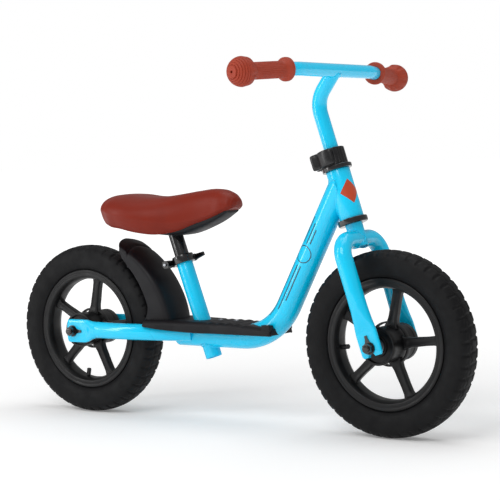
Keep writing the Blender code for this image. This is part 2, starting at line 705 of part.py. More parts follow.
def handlebar_clamp(steering):
    """Collar with two ears behind it, a cross bolt and a cam lever round its right side."""
    obj = turned("handlebar_clamp", ring_profile(STEERER_R + 0.0004, 0.0205, CLAMP_LOW, CLAMP_HIGH,
                                                 0.0015), "black_plastic", steering)
    ears = block("clamp_ears", (-0.0340, -0.0085, CLAMP_LOW + 0.001), (-0.0165, 0.0105,
                                                                  CLAMP_HIGH - 0.001), None,
                 steering)
    join(obj, ears)
    cut(obj, block("clamp_slit", (-0.05, -0.0012, 0.29), (-0.005, 0.0012, 0.34), None, steering))
    middle = (CLAMP_LOW + CLAMP_HIGH) / 2
    bolt_x = -0.0270
    cut(obj, cross_rod("clamp_bolt_hole", 0.0029, -0.03, 0.03, steering, bolt_x, middle))
    bolt = cross_rod("handlebar_clamp_bolt", 0.0025, LEVER_PIN_Y, 0.0160, steering, bolt_x, middle,
                     steps=12, finish="steel")
    head = cross_rod("clamp_bolt_head", 0.0048, 0.0108, 0.0150, steering, bolt_x, middle, steps=12)
    join(bolt, head)
    pin = turned("clamp_bolt_pin", rod_profile(0.0020, CLAMP_LOW + 0.0015, CLAMP_HIGH - 0.0005), None,
                 steering, steps=12)
    pin.location = (bolt_x, LEVER_PIN_Y, 0)
    join(bolt, pin)
    return bolt_x


def clamp_lever_profile(centre, radius):
    """Plan of the handlebar clamp's lever: a cam head, then a handle hugging the collar."""
    outer_arc = arc((0, 0), 0.0272, 300, 212, 8)
    inner_arc = arc((0, 0), 0.0215, 216, 300, 8)
    head = arc(centre, radius, 275, 120, 7)
    return inner_arc + outer_arc + head


def bolt_fan(name, start, end, middle, hinge):
    """Cutter for the slot in a lever's cam head that the bolt swings through, angles in degrees."""
    room, reach = 0.0031, 0.0200
    outline = arc((0, 0), room, end + 90, start + 270, 8)
    outline += arc((0, 0), reach, start - 9, end + 9, 10)
    return plate(name, outline, middle - room, middle + room, None, hinge, plane="XY")


def handlebar_clamp_lever(bolt_x, steering):
    pin_at = Vector((bolt_x, LEVER_PIN_Y, 0))
    hinge = empty("handlebar_lever_hinge", pin_at, 0, steering)
    low, high = CLAMP_LOW + 0.0015, CLAMP_HIGH - 0.0005
    outline = clamp_lever_profile((pin_at.x, pin_at.y), 0.0070)
    local = [(x - pin_at.x, y - pin_at.y) for x, y in outline]
    obj = plate("handlebar_clamp_lever", local, low, high, "black_plastic", hinge, plane="XY")
    cut(obj, turned("lever_pin_hole", rod_profile(0.0024, 0.28, 0.35), None, hinge, steps=12))
    middle = (CLAMP_LOW + CLAMP_HIGH) / 2
    cut(obj, bolt_fan("lever_bolt_slot", 90, 210, middle, hinge))
    return hinge


# --- handlebar ----------------------------------------------------------------------
def steering_point(along, forward=0.0, left=0.0):
    """World place of a point given along the steering axis and square to it."""
    axis = Vector((-math.sin(HEAD_TILT), 0, math.cos(HEAD_TILT)))
    ahead = Vector((math.cos(HEAD_TILT), 0, math.sin(HEAD_TILT)))
    return FRONT_AXLE + axis * along + ahead * forward + Vector((0, left, 0))


def grip_direction(side):
    """Which way a swept end of the bar points: outwards, back and slightly down."""
    level = math.cos(BAR_DROOP)
    return Vector((-math.sin(BAR_SWEEP) * level, side * math.cos(BAR_SWEEP) * level,
                   -math.sin(BAR_DROOP)))


def bar_path():
    """Centreline of the handlebar: straight middle, ends swept back."""
    reach = BAR_CORNER_Y
    tip = GRIP_START + GRIP_LENGTH - 0.012
    ends = [Vector((0, s * reach, 0)) + grip_direction(s) * tip for s in (-1, 1)]
    corners = [ends[0], (0, -reach, 0), (0, reach, 0), ends[1]]
    return rounded_path(corners, [BAR_BEND_R, BAR_BEND_R], steps=3)


def handlebar(bar_frame, steering):
    tube("handlebar", bar_path(), BAR_R, "blue_paint", bar_frame, wall=TUBE_WALL)
    low = steering_point(STEM_LOW)
    corner = steering_point(STEM_CORNER)
    top = Vector((BAR_X, 0, BAR_Z))
    path = [p - top for p in rounded_path([low, corner, top], [STEM_BEND_R], steps=5)]
    obj = tube("stem", path, STEM_R, "blue_paint", bar_frame, wall=TUBE_WALL)
    cut(obj, cross_rod("stem_cope", BAR_R + GAP, -0.03, 0.03, bar_frame))


def grip_profile():
    """Half section of a grip from its inner flange to its ball end: (radius, distance)."""
    bore = BAR_R + 0.0005
    ball, ball_r, shaft = 0.1000, 0.0236, 0.0133
    profile = [(bore, 0), (0.0185, 0), (0.0195, 0.0020), (0.0195, 0.0070), (0.0170, 0.0095),
               (shaft, 0.0140), (shaft, 0.0785)]
    start = math.degrees(math.asin((0.0805 - ball) / ball_r))
    for i in range(6):
        angle = math.radians(start + (62 - start) * i / 5)
        profile.append((ball_r * math.cos(angle), ball + ball_r * math.sin(angle)))
    end = GRIP_LENGTH + 0.001
    return profile + [(0.0090, end), (0.0016, end), (0.0016, 0.1120), (bore, 0.1120)]


def grip(name, side, bar_frame):
    """Rubber grip with a flange inboard and a ball end with a small vent hole."""
    frame = bpy.data.objects.new(name + "_frame", None)
    bpy.data.collections["balance_bike"].objects.link(frame)
    frame.parent = bar_frame
    direction = grip_direction(side)
    frame.rotation_mode = "QUATERNION"
    frame.rotation_quaternion = direction.to_track_quat("Z", "Y")
    frame.location = Vector((0, side * BAR_CORNER_Y, 0)) + direction * GRIP_START
    turned(name, grip_profile(), "grip_rubber", frame, steps=14)


# --- seat ---------------------------------------------------------------------------
def seat_clamp(seat):
    """Collar over the top of the seat tube with two ears behind it."""
    obj = turned("seat_clamp", ring_profile(SEAT_POST_R + 0.0005, 0.0190, SEAT_CLAMP_LOW,
                                            SEAT_CLAMP_HIGH, 0.0010), "black_metal", seat)
    cut(obj, turned("seat_clamp_step", rod_profile(SEAT_TUBE_R + 0.0004, 0.10, SEAT_TUBE_HIGH + GAP),
                    None, seat))
    join(obj, block("seat_clamp_ears", (-0.0300, -0.0075, SEAT_CLAMP_LOW + 0.001),
                    (-0.0160, 0.0075, SEAT_CLAMP_HIGH - 0.001), None, seat))
    cut(obj, block("seat_clamp_slit", (-0.05, -0.0012, 0.12), (-0.005, 0.0012, 0.16), None, seat))
    middle = (SEAT_CLAMP_LOW + SEAT_CLAMP_HIGH) / 2
    bolt_x = -0.0245
    cut(obj, cross_rod("seat_bolt_hole", 0.0029, -0.03, 0.03, seat, bolt_x, middle))
    bolt = cross_rod("seat_clamp_bolt", 0.0025, -0.0255, SEAT_PIN_Y, seat, bolt_x, middle, steps=12,
                     finish="steel")
    pin = turned("seat_bolt_pin", rod_profile(0.0017, middle - 0.0058, middle + 0.0058), None, seat,
                 steps=12)
    pin.location = (bolt_x, SEAT_PIN_Y, 0)
    join(bolt, pin)
    nut = turned("seat_clamp_nut", nut_profile(), "black_metal", seat, steps=12, across=True)
    nut.location = (bolt_x, 0, middle)
    return bolt_x


def nut_profile():
    """Round adjusting nut with two deep grooves, on the right end of the bolt."""
    outer = [(0.0070, -0.0080), (0.0070, -0.0110), (0.0052, -0.0115), (0.0052, -0.0130),
             (0.0070, -0.0135), (0.0070, -0.0170), (0.0052, -0.0175), (0.0052, -0.0190),
             (0.0070, -0.0195), (0.0070, -0.0225)]
    return outer + [(0.0029, -0.0225), (0.0029, -0.0080)]


def seat_clamp_lever(bolt_x, seat):
    """Cam lever on the left of the seat tube, its handle pointing forwards."""
    hinge = empty("seat_lever_hinge", (bolt_x, SEAT_PIN_Y, 0), 0, seat)
    middle = (SEAT_CLAMP_LOW + SEAT_CLAMP_HIGH) / 2
    outline = arc((0, 0), 0.0068, 100, 260, 8) + [(0.0040, -0.0030), (0.0120, 0.0050),
                                                (0.0300, 0.0065)] \
        + arc((0.0490, 0.0095), 0.0045, 250, 440, 6) + [(0.0300, 0.0140), (0.0080, 0.0085)]
    obj = plate("seat_clamp_lever", outline, middle - 0.0058, middle + 0.0058, "black_metal", hinge,
                plane="XY")
    cut(obj, turned("seat_lever_pin_hole", rod_profile(0.0021, 0.1, 0.2), None, hinge, steps=12))
    cut(obj, bolt_fan("seat_lever_bolt_slot", 150, 270, middle, hinge))


PAD_STATIONS = [  # x, half width, top, widest height, lower edge
    (-0.2470, 0.030, 0.3820, 0.3700, 0.3600),
    (-0.2420, 0.052, 0.3900, 0.3700, 0.3520),
    (-0.2250, 0.068, 0.3960, 0.3680, 0.3430),
    (-0.1950, 0.075, 0.3965, 0.3620, 0.3370),
    (-0.1600, 0.072, 0.3935, 0.3560, 0.3300),
    (-0.1250, 0.060, 0.3935, 0.3520, 0.3265),
    (-0.0900, 0.045, 0.3965, 0.3540, 0.3315),
    (-0.0550, 0.034, 0.4010, 0.3660, 0.3430),
    (-0.0200, 0.028, 0.4040, 0.3760, 0.3560),
    (0.0050, 0.025, 0.3990, 0.3800, 0.3660),
    (0.0170, 0.018, 0.3900, 0.3800, 0.3700),
    (0.0210, 0.010, 0.3840, 0.3790, 0.3730),
]


def pad_ring(x, half, top, widest, low):
    """Cross-section of the saddle pad: domed top, full sides, tucked lower edge."""
    shape = [(0.0, top), (0.55, top - 0.05 * (top - widest)), (0.90, widest + 0.45 * (top - widest)),
             (1.0, widest), (0.93, low), (0.45, low + 0.0006), (0.0, low + 0.0008)]
    half_ring = [Vector((x, share * half, z)) for share, z in shape]
    return half_ring + [Vector((p.x, -p.y, p.z)) for p in reversed(half_ring[1:-1])]


def base_ring(x, half, low, top, grow):
    shape = [(0.0, top), (0.80, top), (1.0, top - 0.002), (0.90, low + 0.004), (0.50, low), (0.0, low)]
    half_ring = [Vector((x, share * (half + grow), z + (grow if i < 3 else -grow)))
                 for i, (share, z) in enumerate(shape)]
    return half_ring + [Vector((p.x, -p.y, p.z)) for p in reversed(half_ring[1:-1])]


def base_rings(grow):
    stations = [  # x, half width, underside, top
        (-0.2280 - grow, 0.044, 0.3520, 0.3600), (-0.2000, 0.058, 0.3450, 0.3560),
        (-0.1600, 0.055, 0.3340, 0.3540), (-0.1300, 0.044, 0.3260, 0.3560),
        (-0.0850, 0.032, 0.3250, 0.3580), (-0.0450, 0.0255, 0.3370, 0.3600),
        (-0.0100, 0.0215, 0.3530, 0.3680), (0.0080 + grow, 0.0180, 0.3640, 0.3730),
    ]
    return [base_ring(x, half, low, top, grow) for x, half, low, top in stations]


def saddle(slide):
    """Padded saddle on a plastic pan, bolted through the top of its post."""
    turned("seat_post", ring_profile(SEAT_POST_R - 0.0018, SEAT_POST_R, SEAT_POST_LOW,
                                     SEAT_POST_HIGH), "black_metal", slide)
    to_slide = slide_matrix().inverted()
    pad = loft("saddle_pad", [[to_slide @ p for p in pad_ring(*s)] for s in PAD_STATIONS],
               "saddle_cover", slide)
    cut(pad, loft("pad_recess", [[to_slide @ p for p in ring] for ring in base_rings(PAN_GAP)], None,
                  slide))
    base = loft("saddle_base", [[to_slide @ p for p in ring] for ring in base_rings(0)],
                "black_plastic", slide)
    cut(base, turned("post_socket", rod_profile(SEAT_POST_R + 0.0005, 0.1, SEAT_POST_HIGH + GAP),
                     None, slide))
    height = SEAT_POST_HIGH - 0.0090
    cut(base, cross_rod("saddle_bolt_hole", 0.0031, -0.1, 0.1, slide, 0, height, steps=12))
    cut(bpy.data.objects["seat_post"], cross_rod("post_bolt_hole", 0.0031, -0.1, 0.1, slide, 0,
                                                 height, steps=12))
    cross_rod("saddle_bolt", 0.0026, -0.0260, 0.0260, slide, 0, height, steps=12, finish="steel")


def slide_matrix():
    return Matrix.Translation(SEAT_ORIGIN) @ Matrix.Rotation(-SEAT_TILT, 4, "Y")


# --- the bike -----------------------------------------------------------------------
def main():
    clear_scene()
    new_collection("balance_bike")
    new_collection("cutters")
    steering = empty("steering_axis", FRONT_AXLE, HEAD_TILT)
    seat = empty("seat_axis", SEAT_ORIGIN, SEAT_TILT)

    main_tube(steering, seat)
    head_set(steering)
    seat_tube(seat)
    stay("right_stay", -1)
    stay("left_stay", 1)
    footrest(seat)
    for word, middle in (("rear", -0.0230), ("front", 0.0100)):
        footrest_bracket("footrest_%s_bracket" % word, middle)
        footrest_screw("footrest_%s_screw" % word, middle)
    rear_mudguard()

    rear_hub = wheel_set("rear", REAR_AXLE, REAR_SPOKE_ANGLE, 3.5, None)
    axle_set("rear", rear_hub, STAY_Y - PLATE_HALF_THICK, STAY_Y + PLATE_HALF_THICK, 0)

    front_hub = wheel_set("front", FRONT_AXLE, FRONT_SPOKE_ANGLE, 2.5, None)
    axle_set("front", front_hub, LEG_Y - 0.0042, LEG_Y + 0.0042, math.radians(90) + HEAD_TILT)
    fork_steerer(steering)
    fork_leg("right_fork_leg", -1, steering)
    fork_leg("left_fork_leg", 1, steering)
    bolt_x = handlebar_clamp(steering)
    handlebar_clamp_lever(bolt_x, steering)

    bar_frame = empty("bar_centre", (BAR_X, 0, BAR_Z))
    handlebar(bar_frame, steering)
    grip("right_grip", -1, bar_frame)
    grip("left_grip", 1, bar_frame)

    seat_bolt_x = seat_clamp(seat)
    seat_clamp_lever(seat_bolt_x, seat)
    saddle(empty("seat_slide", SEAT_ORIGIN, SEAT_TILT))


main()
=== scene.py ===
"""Looks of a toddler's balance bike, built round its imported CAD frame.

Metres, +Z up, +X forwards, +Y to the rider's left; the ground is Z = 0 and the origin is
midway between the axles. Every operator adds finished pieces and hides the CAD nodes they
stand for; the CAD nodes that stay get a material of their own.
"""

import math

import bmesh
import bpy
import numpy as np
from bpy.props import FloatProperty, FloatVectorProperty, IntProperty, PointerProperty
from mathutils import Matrix


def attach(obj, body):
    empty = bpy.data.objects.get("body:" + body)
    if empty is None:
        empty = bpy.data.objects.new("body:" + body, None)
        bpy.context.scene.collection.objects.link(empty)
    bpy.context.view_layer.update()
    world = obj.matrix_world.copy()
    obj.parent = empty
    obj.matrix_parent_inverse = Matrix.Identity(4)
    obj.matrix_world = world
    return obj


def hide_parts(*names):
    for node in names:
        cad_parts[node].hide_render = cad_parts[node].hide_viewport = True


bl_info = {
    "name": "Balance Bike Looks",
    "version": (1, 0, 0),
    "blender": (4, 5, 0),
    "location": "3D View > Sidebar > Bike",
    "description": "Builds the visible pieces of a toddler's balance bike round its frame",
    "category": "Add Mesh",
}

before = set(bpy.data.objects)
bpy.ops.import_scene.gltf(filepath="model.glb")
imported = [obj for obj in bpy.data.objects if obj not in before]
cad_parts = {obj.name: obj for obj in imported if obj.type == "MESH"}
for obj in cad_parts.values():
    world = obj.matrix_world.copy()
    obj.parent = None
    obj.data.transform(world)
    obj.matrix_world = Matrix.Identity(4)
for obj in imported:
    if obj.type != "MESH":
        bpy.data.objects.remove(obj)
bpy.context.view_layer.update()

# --- places and sizes, metres ---------------------------------------------------------
TAU = 2 * math.pi
WHEEL_R = 0.152
AXLE_X = 0.3125
HEAD_TILT = math.radians(18)
SEAT_TILT = math.radians(20)
MAIN_R = 0.021
DOWN_TILT = math.radians(28.3)
MAIN_CORNER = (0.090, 0.0, 0.151)
MAIN_REAR = (-0.109, 0.0, 0.151)
MAIN_BEND = 0.108
HEAD_R = 0.020
STEERER_R = 0.0143
STEM_R = 0.0123
BAR_R = 0.0111
BAR = (0.2200, 0.0, 0.594)
BAR_CORNER = 0.110
BAR_SWEEP = math.radians(10)
BAR_DROOP = math.radians(3)
LEG_Y = 0.059
LEG_R = 0.0142
CROWN = 0.1765
STAY_Y = 0.053
FOOT_TOP = 0.1770
FOOT_REAR, FOOT_FRONT = -0.1520, 0.1030
FOOT_SLOPE = math.radians(5)
SHEET = 0.0024  # wall of the footrest and of the mudguard
SPOKES = 5
DECAL_LIFT = 0.00025
HEAD_LOW, HEAD_HIGH = 0.2115, 0.2940
SEAT_R = 0.0143
POST_R = 0.0126


def basis(origin, tilt):
    """Origin and three unit directions of a frame that leans back by tilt."""
    s, c = math.sin(tilt), math.cos(tilt)
    return (np.array(origin, float), np.array([[c, 0, s], [0, 1, 0], [-s, 0, c]]))


STEER = basis((AXLE_X, 0, WHEEL_R), HEAD_TILT)
SEAT = basis((-0.0535, 0, WHEEL_R), SEAT_TILT)
REAR = basis((-AXLE_X, 0, WHEEL_R), 0)
FRONT = basis((AXLE_X, 0, WHEEL_R), 0)


def to_world(points, place):
    """Points given along a frame's three directions, in world metres."""
    origin, rows = place
    return origin + np.asarray(points, float) @ rows


def unit(values):
    """The values, kept between nought and one."""
    return np.clip(values, 0, 1)


def grid_of(x, y, z):
    """Points from three arrays that are spread out to one shape."""
    return np.stack(np.broadcast_arrays(x, y, z), -1)


# --- shapes as arrays -------------------------------------------------------------------
class Shape:
    """Collects surfaces, as grids of points, into one mesh."""

    def __init__(self):
        self.points, self.faces, self.count = [], [], 0

    def skin(self, grid, loop_u=False, loop_v=True, caps=(False, False)):
        """Quads between the neighbours of an n by m grid; either way may close on itself,
        and the first and last rows may be closed with one flat face."""
        n, m = grid.shape[:2]
        index = self.count + np.arange(n * m).reshape(n, m)
        wide = np.vstack([index, index[:1]]) if loop_u else index
        wide = np.hstack([wide, wide[:, :1]]) if loop_v else wide
        quads = np.stack([wide[:-1, :-1], wide[1:, :-1], wide[1:, 1:], wide[:-1, 1:]], -1)
        self.faces += quads.reshape(-1, 4).tolist()
        if caps[0]:
            self.faces.append(index[0].tolist())
        if caps[1]:
            self.faces.append(index[-1][::-1].tolist())
        self.points.append(grid.reshape(-1, 3))
        self.count += n * m
        return self

    def make(self, name, angle=38, merge=True):
        """The mesh object: doubles merged, faces outwards, smooth but for sharp edges."""
        mesh = bpy.data.meshes.new(name)
        mesh.from_pydata(np.concatenate(self.points).tolist(), [], self.faces)
        bm = bmesh.new()
        bm.from_mesh(mesh)
        if merge:
            bmesh.ops.remove_doubles(bm, verts=bm.verts, dist=0.000004)
            bmesh.ops.dissolve_degenerate(bm, edges=bm.edges, dist=0.000004)
        bmesh.ops.recalc_face_normals(bm, faces=bm.faces)
        bm.to_mesh(mesh)
        bm.free()
        mesh.shade_smooth()
        mesh.set_sharp_from_angle(angle=math.radians(angle))
        obj = bpy.data.objects.new(name, mesh)
        bpy.context.scene.collection.objects.link(obj)
        return obj


def rounded(corners, radii, steps=6, closed=False):
    """A polyline whose corners are arcs of these radii, each kept inside its two sides."""
    pts = [np.array(p, float) for p in corners]
    count = len(pts)
    radii = [radii] * count if np.isscalar(radii) else list(radii)
    out = []
    for i, corner in enumerate(pts):
        if not closed and i in (0, count - 1):
            out.append(corner[None])
            continue
        back, ahead = pts[i - 1] - corner, pts[(i + 1) % count] - corner
        lb, la = np.linalg.norm(back), np.linalg.norm(ahead)
        back, ahead = back / lb, ahead / la
        half = math.acos(float(np.clip(back @ ahead, -1, 1))) / 2
        if radii[i] <= 0 or half > 1.55:
            out.append(corner[None])
            continue
        reach = min(radii[i] / math.tan(half), 0.49 * min(lb, la))
        radius = reach * math.tan(half)
        middle = back + ahead
        centre = corner + middle / np.linalg.norm(middle) * radius / math.sin(half)
        arm = (corner + back * reach - centre) / radius
        turn = np.linspace(0, math.pi - 2 * half, steps + 1)[:, None]
        out.append(centre + radius * (arm * np.cos(turn) - back * np.sin(turn)))
    return np.concatenate(out)


def through(knots, rows, at):
    """Smooth cubic curve through rows of values placed at knots, read at other places."""
    x, y, at = (np.asarray(a, float) for a in (knots, rows, at))
    y = y if y.ndim > 1 else y[:, None]
    slope = np.gradient(y, x, axis=0)
    i = np.clip(np.searchsorted(x, at, side="right") - 1, 0, len(x) - 2)
    h = (x[i + 1] - x[i])[:, None]
    t = ((at - x[i]) / h[:, 0])[:, None]
    a, b = 2 * t ** 3 - 3 * t ** 2 + 1, t ** 3 - 2 * t ** 2 + t
    return a * y[i] + b * h * slope[i] + (1 - a) * y[i + 1] + (t ** 3 - t ** 2) * h * slope[i + 1]


def ring(count, power):
    """Unit superellipse: cosine and sine, each raised to 2/power with its sign kept."""
    t = np.arange(count) * TAU / count
    c, s = np.cos(t), np.sin(t)
    return (np.sign(c) * np.abs(c) ** (2 / power), np.sign(s) * np.abs(s) ** (2 / power))


def tangents(path, closed=False):
    """Unit directions along a path, from each point's neighbours."""
    if closed:
        d = np.roll(path, -1, 0) - np.roll(path, 1, 0)
    else:
        d = np.gradient(path, axis=0)
    return d / np.linalg.norm(d, axis=1)[:, None]


def sweep(path, side, half_a, half_b, power=2.0, count=32):
    """A superellipse carried along a path: half_a along the fixed side direction (or one
    for each point), half_b square to it and to the path."""
    path = np.asarray(path, float)
    n = len(path)
    side = np.broadcast_to(np.asarray(side, float), (n, 3))
    other = np.cross(tangents(path), side)
    other /= np.linalg.norm(other, axis=1)[:, None]
    half_a, half_b, power = (np.broadcast_to(np.asarray(v, float), (n,)) for v in (half_a, half_b, power))
    t = np.arange(count) * TAU / count
    c, s = np.cos(t)[None], np.sin(t)[None]
    e = (2 / power)[:, None]
    a = half_a[:, None] * np.sign(c) * np.abs(c) ** e
    b = half_b[:, None] * np.sign(s) * np.abs(s) ** e
    return path[:, None] + a[..., None] * side[:, None] + b[..., None] * other[:, None]


def turned(profile, place, axis="z", steps=48, shift=(0, 0, 0), wave=None):
    """A profile of (radius, height) carried round a frame's Z or Y axis; wave adds to the
    radius as a function of height and angle."""
    profile = np.asarray(profile, float)
    angle = np.arange(steps) * TAU / steps
    r = profile[:, :1] + (0 if wave is None else wave(profile[:, 1:2], angle[None]))
    h = profile[:, 1:2]
    u, v = r * np.cos(angle), r * np.sin(angle)
    local = grid_of(u, v, h) if axis == "z" else grid_of(u, h, -v)
    return to_world(local + np.array(shift), place)


def hexagon(across_flats, low, high, place, bore, chamfer=0.0009):
    """A hexagon nut along Y: the radius is the nearer of a hexagon and a chamfer cone."""
    angle = np.arange(72) * TAU / 72
    flat = across_flats / 2 / np.cos((angle + TAU / 12) % (TAU / 6) - TAU / 12)
    ends = np.array([(low, 1), (low + chamfer, 0), (high - chamfer, 0), (high, 1)])
    round_r = across_flats / 2 * 1.02
    r = np.minimum(flat[None], (round_r + (1 - ends[:, 1:2]) * chamfer * 1.7))
    y = np.broadcast_to(ends[:, :1], r.shape)
    rows = [np.full_like(angle, bore), *r, np.full_like(angle, bore)]
    y = np.vstack([np.full_like(angle, low), y, np.full_like(angle, high)])
    r = np.array(rows)
    return to_world(np.stack([r * np.cos(angle), y, -r * np.sin(angle)], -1), place)


def cope(starts, direction, cylinder, radius):
    """Where lines from starts along a direction first meet a cylinder, or pass nearest."""
    centre, rows = cylinder
    axis = rows[2]
    d = direction - (direction @ axis) * axis
    w = starts - centre
    w = w - (w @ axis)[:, None] * axis
    a, b, c = d @ d, w @ d, (w * w).sum(1) - radius ** 2
    s = (-b - np.sqrt(np.maximum(b * b - a * c, 0))) / a
    return starts + s[:, None] * direction


def bead(line, outward, radius, count=10):
    """A dressed weld bead: a small circle carried round a closed line."""
    across = np.cross(tangents(line, True), outward)
    a = np.arange(count) * TAU / count
    return line[:, None] + radius * (np.cos(a)[None, :, None] * outward[:, None]
                                     + np.sin(a)[None, :, None] * across[:, None])


def resampled(line, count):
    """A closed line's points spaced evenly along it."""
    closed = np.vstack([line, line[:1]])
    length = np.concatenate([[0], np.cumsum(np.linalg.norm(np.diff(closed, axis=0), axis=1))])
    at = np.linspace(0, length[-1], count, endpoint=False)
    return np.stack([np.interp(at, length, closed[:, k]) for k in range(3)], -1)


# --- materials ---------------------------------------------------------------------------
def srgb(code):
    """Linear colour, with alpha, of an sRGB hex code."""
    c = np.array([int(code[i:i + 2], 16) / 255 for i in (1, 3, 5)])
    linear = np.where(c <= 0.04045, c / 12.92, ((c + 0.055) / 1.055) ** 2.4)
    return (*linear.tolist(), 1.0)


def node(tree, kind, settings=None, links=None):
    """Adds a node, sets its attributes and inputs by name, and links inputs to outputs."""
    made = tree.nodes.new(kind)
    for key, value in (settings or {}).items():
        if key in made.inputs.keys() or isinstance(key, int):
            made.inputs[key].default_value = value
        else:
            setattr(made, key, value)
    for key, source in (links or {}).items():
        tree.links.new(source, made.inputs[key])
    return made


# Each finish is named for the real one and how its surface was made. Grain and spread, the
# size of the fine grain and of the slow drift in colour, are in metres; the bump is its
# strength and depth. The capitalised entries go to the shader's sockets of those names.
FINISHES = {
    # Gloss light-blue enamel, sprayed and baked: a clear coat over an even colour, with a
    # very slight orange-peel waviness about 3 mm across.
    "enamel": dict(name="gloss_blue_enamel", slot="frame_paint", tones=("paint", "paint_deep"),
                   roughness=(0.22, 0.30), grain=0.003, bump=(0.05, 0.0002), spread=0.06,
                   Coat_Weight=0.55, Coat_Roughness=0.06, Specular_IOR_Level=0.3),
    # Moulded nylon: black with a soft satin face from the tool, fine grain under 1 mm.
    "nylon": dict(name="satin_moulded_nylon", slot="wheel_plastic", tones=("#050506", "#09090B"),
                  roughness=(0.36, 0.50), grain=0.0007, bump=(0.12, 0.0001), spread=0.02,
                  Specular_IOR_Level=0.35),
    # Moulded polypropylene: charcoal black, a little chalky where it has been handled.
    "guard": dict(name="charcoal_polypropylene", slot="guard_plastic", tones=("#08070B", "#0E0D12"),
                  roughness=(0.44, 0.58), grain=0.0009, bump=(0.15, 0.0001), spread=0.03,
                  Specular_IOR_Level=0.3),
    # Vulcanised rubber: near-black, dull on the tread with a faint bloom on the walls.
    "tyre": dict(name="vulcanised_tyre_rubber", slot="tyre_rubber", tones=("#050507", "#09090B"),
                 roughness=(0.52, 0.70), grain=0.0011, bump=(0.25, 0.0002), spread=0.015,
                 Specular_IOR_Level=0.22),
    # Soft thermoplastic rubber: matt red-brown, with a powdery fine grain.
    "grip": dict(name="matt_grip_rubber", slot="grip_rubber", tones=("grip", "grip_deep"),
                 roughness=(0.52, 0.66), grain=0.0008, bump=(0.18, 0.0001), spread=0.012,
                 Specular_IOR_Level=0.30),
    # Black baked lacquer on steel: dark, with sharp highlights under a clear coat.
    "gloss": dict(name="black_baked_lacquer", slot="black_metal", tones=("#08080A", "#101013"),
                  roughness=(0.16, 0.26), grain=0.0015, bump=(0.04, 0.0001), spread=0.01,
                  Coat_Weight=0.6, Coat_Roughness=0.05),
    # Glass-filled nylon: black and half-gloss, as clamp levers are.
    "clamp": dict(name="half_gloss_nylon", slot="fitting_plastic", tones=("#09090B", "#111114"),
                  roughness=(0.26, 0.38), grain=0.0008, bump=(0.10, 0.0001), spread=0.008,
                  Specular_IOR_Level=0.5),
    # Bright zinc on turned steel: cool grey metal with a fine turned grain.
    "zinc": dict(name="bright_zinc_plate", slot="plain_steel", tones=("#8F9297", "#A9ABB0"),
                 roughness=(0.24, 0.36), grain=0.0006, bump=(0.10, 0.0001), spread=0.006, Metallic=1.0),
    # Screen-printed ink under the clear coat: navy-black, flat and a little less glossy.
    "ink": dict(name="screen_ink_navy", slot="frame_paint", tones=("#0B1A26", "#12222E"),
                roughness=(0.30, 0.36), grain=0.002, bump=(0.02, 0.0001), spread=0.02,
                Coat_Weight=0.6, Coat_Roughness=0.1),
    # Vinyl decal: burnt orange, even, under the same clear coat.
    "orange": dict(name="vinyl_burnt_orange", slot="frame_paint", tones=("#B83C14", "#C2431A"),
                   roughness=(0.30, 0.36), grain=0.002, bump=(0.02, 0.0001), spread=0.02,
                   Coat_Weight=0.6, Coat_Roughness=0.1),
    # Coated saddle cover: red-brown vinyl, pressed with pebbles that add_pebbles draws.
    "saddle": dict(name="pebbled_saddle_vinyl", slot="saddle_cover", tones=("saddle", "saddle_deep"),
                   roughness=(0.38, 0.50), grain=0.0006, bump=(0.10, 0.0001), spread=0.03,
                   Coat_Weight=0.04, Coat_Roughness=0.3, Specular_IOR_Level=0.22),
}
made_finishes = {}


def colour(tone):
    """Linear colour of a hex code, or of one of the user's colours by its name."""
    if tone.startswith("#"):
        return srgb(tone)
    values = getattr(bpy.context.scene.bike_colours, tone)
    return srgb("#" + "".join("%02X" % round(v * 255) for v in values))


def make_finish(name, tones, roughness, grain, bump, spread, **sockets):
    """A Principled finish: its colour and roughness drift between two values each, and its
    surface is raised by a fine grain."""
    made = bpy.data.materials.new(name)
    made.use_nodes = True
    tree = made.node_tree
    shader = tree.nodes["Principled BSDF"]
    place = node(tree, "ShaderNodeTexCoord").outputs["Object"]
    drift = node(tree, "ShaderNodeTexNoise", {"Scale": 1 / spread, "Detail": 3.0},
                 {"Vector": place}).outputs["Fac"]
    tone = node(tree, "ShaderNodeMix", {"data_type": "RGBA", 6: colour(tones[0]), 7: colour(tones[1])},
                {0: drift})
    rough = node(tree, "ShaderNodeMapRange", {"From Min": 0.3, "From Max": 0.7, "To Min": roughness[0],
                                              "To Max": roughness[1]}, {"Value": drift})
    fine = node(tree, "ShaderNodeTexNoise", {"Scale": 1 / grain, "Detail": 2.0}, {"Vector": place})
    raised = node(tree, "ShaderNodeBump", {"Strength": bump[0], "Distance": bump[1]},
                  {"Height": fine.outputs["Fac"]})
    tree.links.new(tone.outputs[2], shader.inputs["Base Color"])
    tree.links.new(rough.outputs["Result"], shader.inputs["Roughness"])
    tree.links.new(raised.outputs["Normal"], shader.inputs["Normal"])
    for socket, value in sockets.items():
        shader.inputs[socket.replace("_", " ")].default_value = value
    return made


def add_pebbles(made):
    """Adds the saddle's pressed pebble grain, drawn from the edges of cells. The real one is
    about 1.2 mm across and is drawn at 1.6 mm so that it shows."""
    tree = made.node_tree
    shader = tree.nodes["Principled BSDF"]
    place = node(tree, "ShaderNodeTexCoord").outputs["Object"]
    cells = node(tree, "ShaderNodeTexVoronoi", {"feature": "DISTANCE_TO_EDGE", "Scale": 1 / 0.0016},
                 {"Vector": place})
    level = node(tree, "ShaderNodeMapRange", {"From Max": 0.25}, {"Value": cells.outputs["Distance"]})
    raised = node(tree, "ShaderNodeBump", {"Strength": 0.22, "Distance": 0.00025},
                  {"Height": level.outputs["Result"],
                   "Normal": shader.inputs["Normal"].links[0].from_socket})
    tree.links.new(raised.outputs["Normal"], shader.inputs["Normal"])


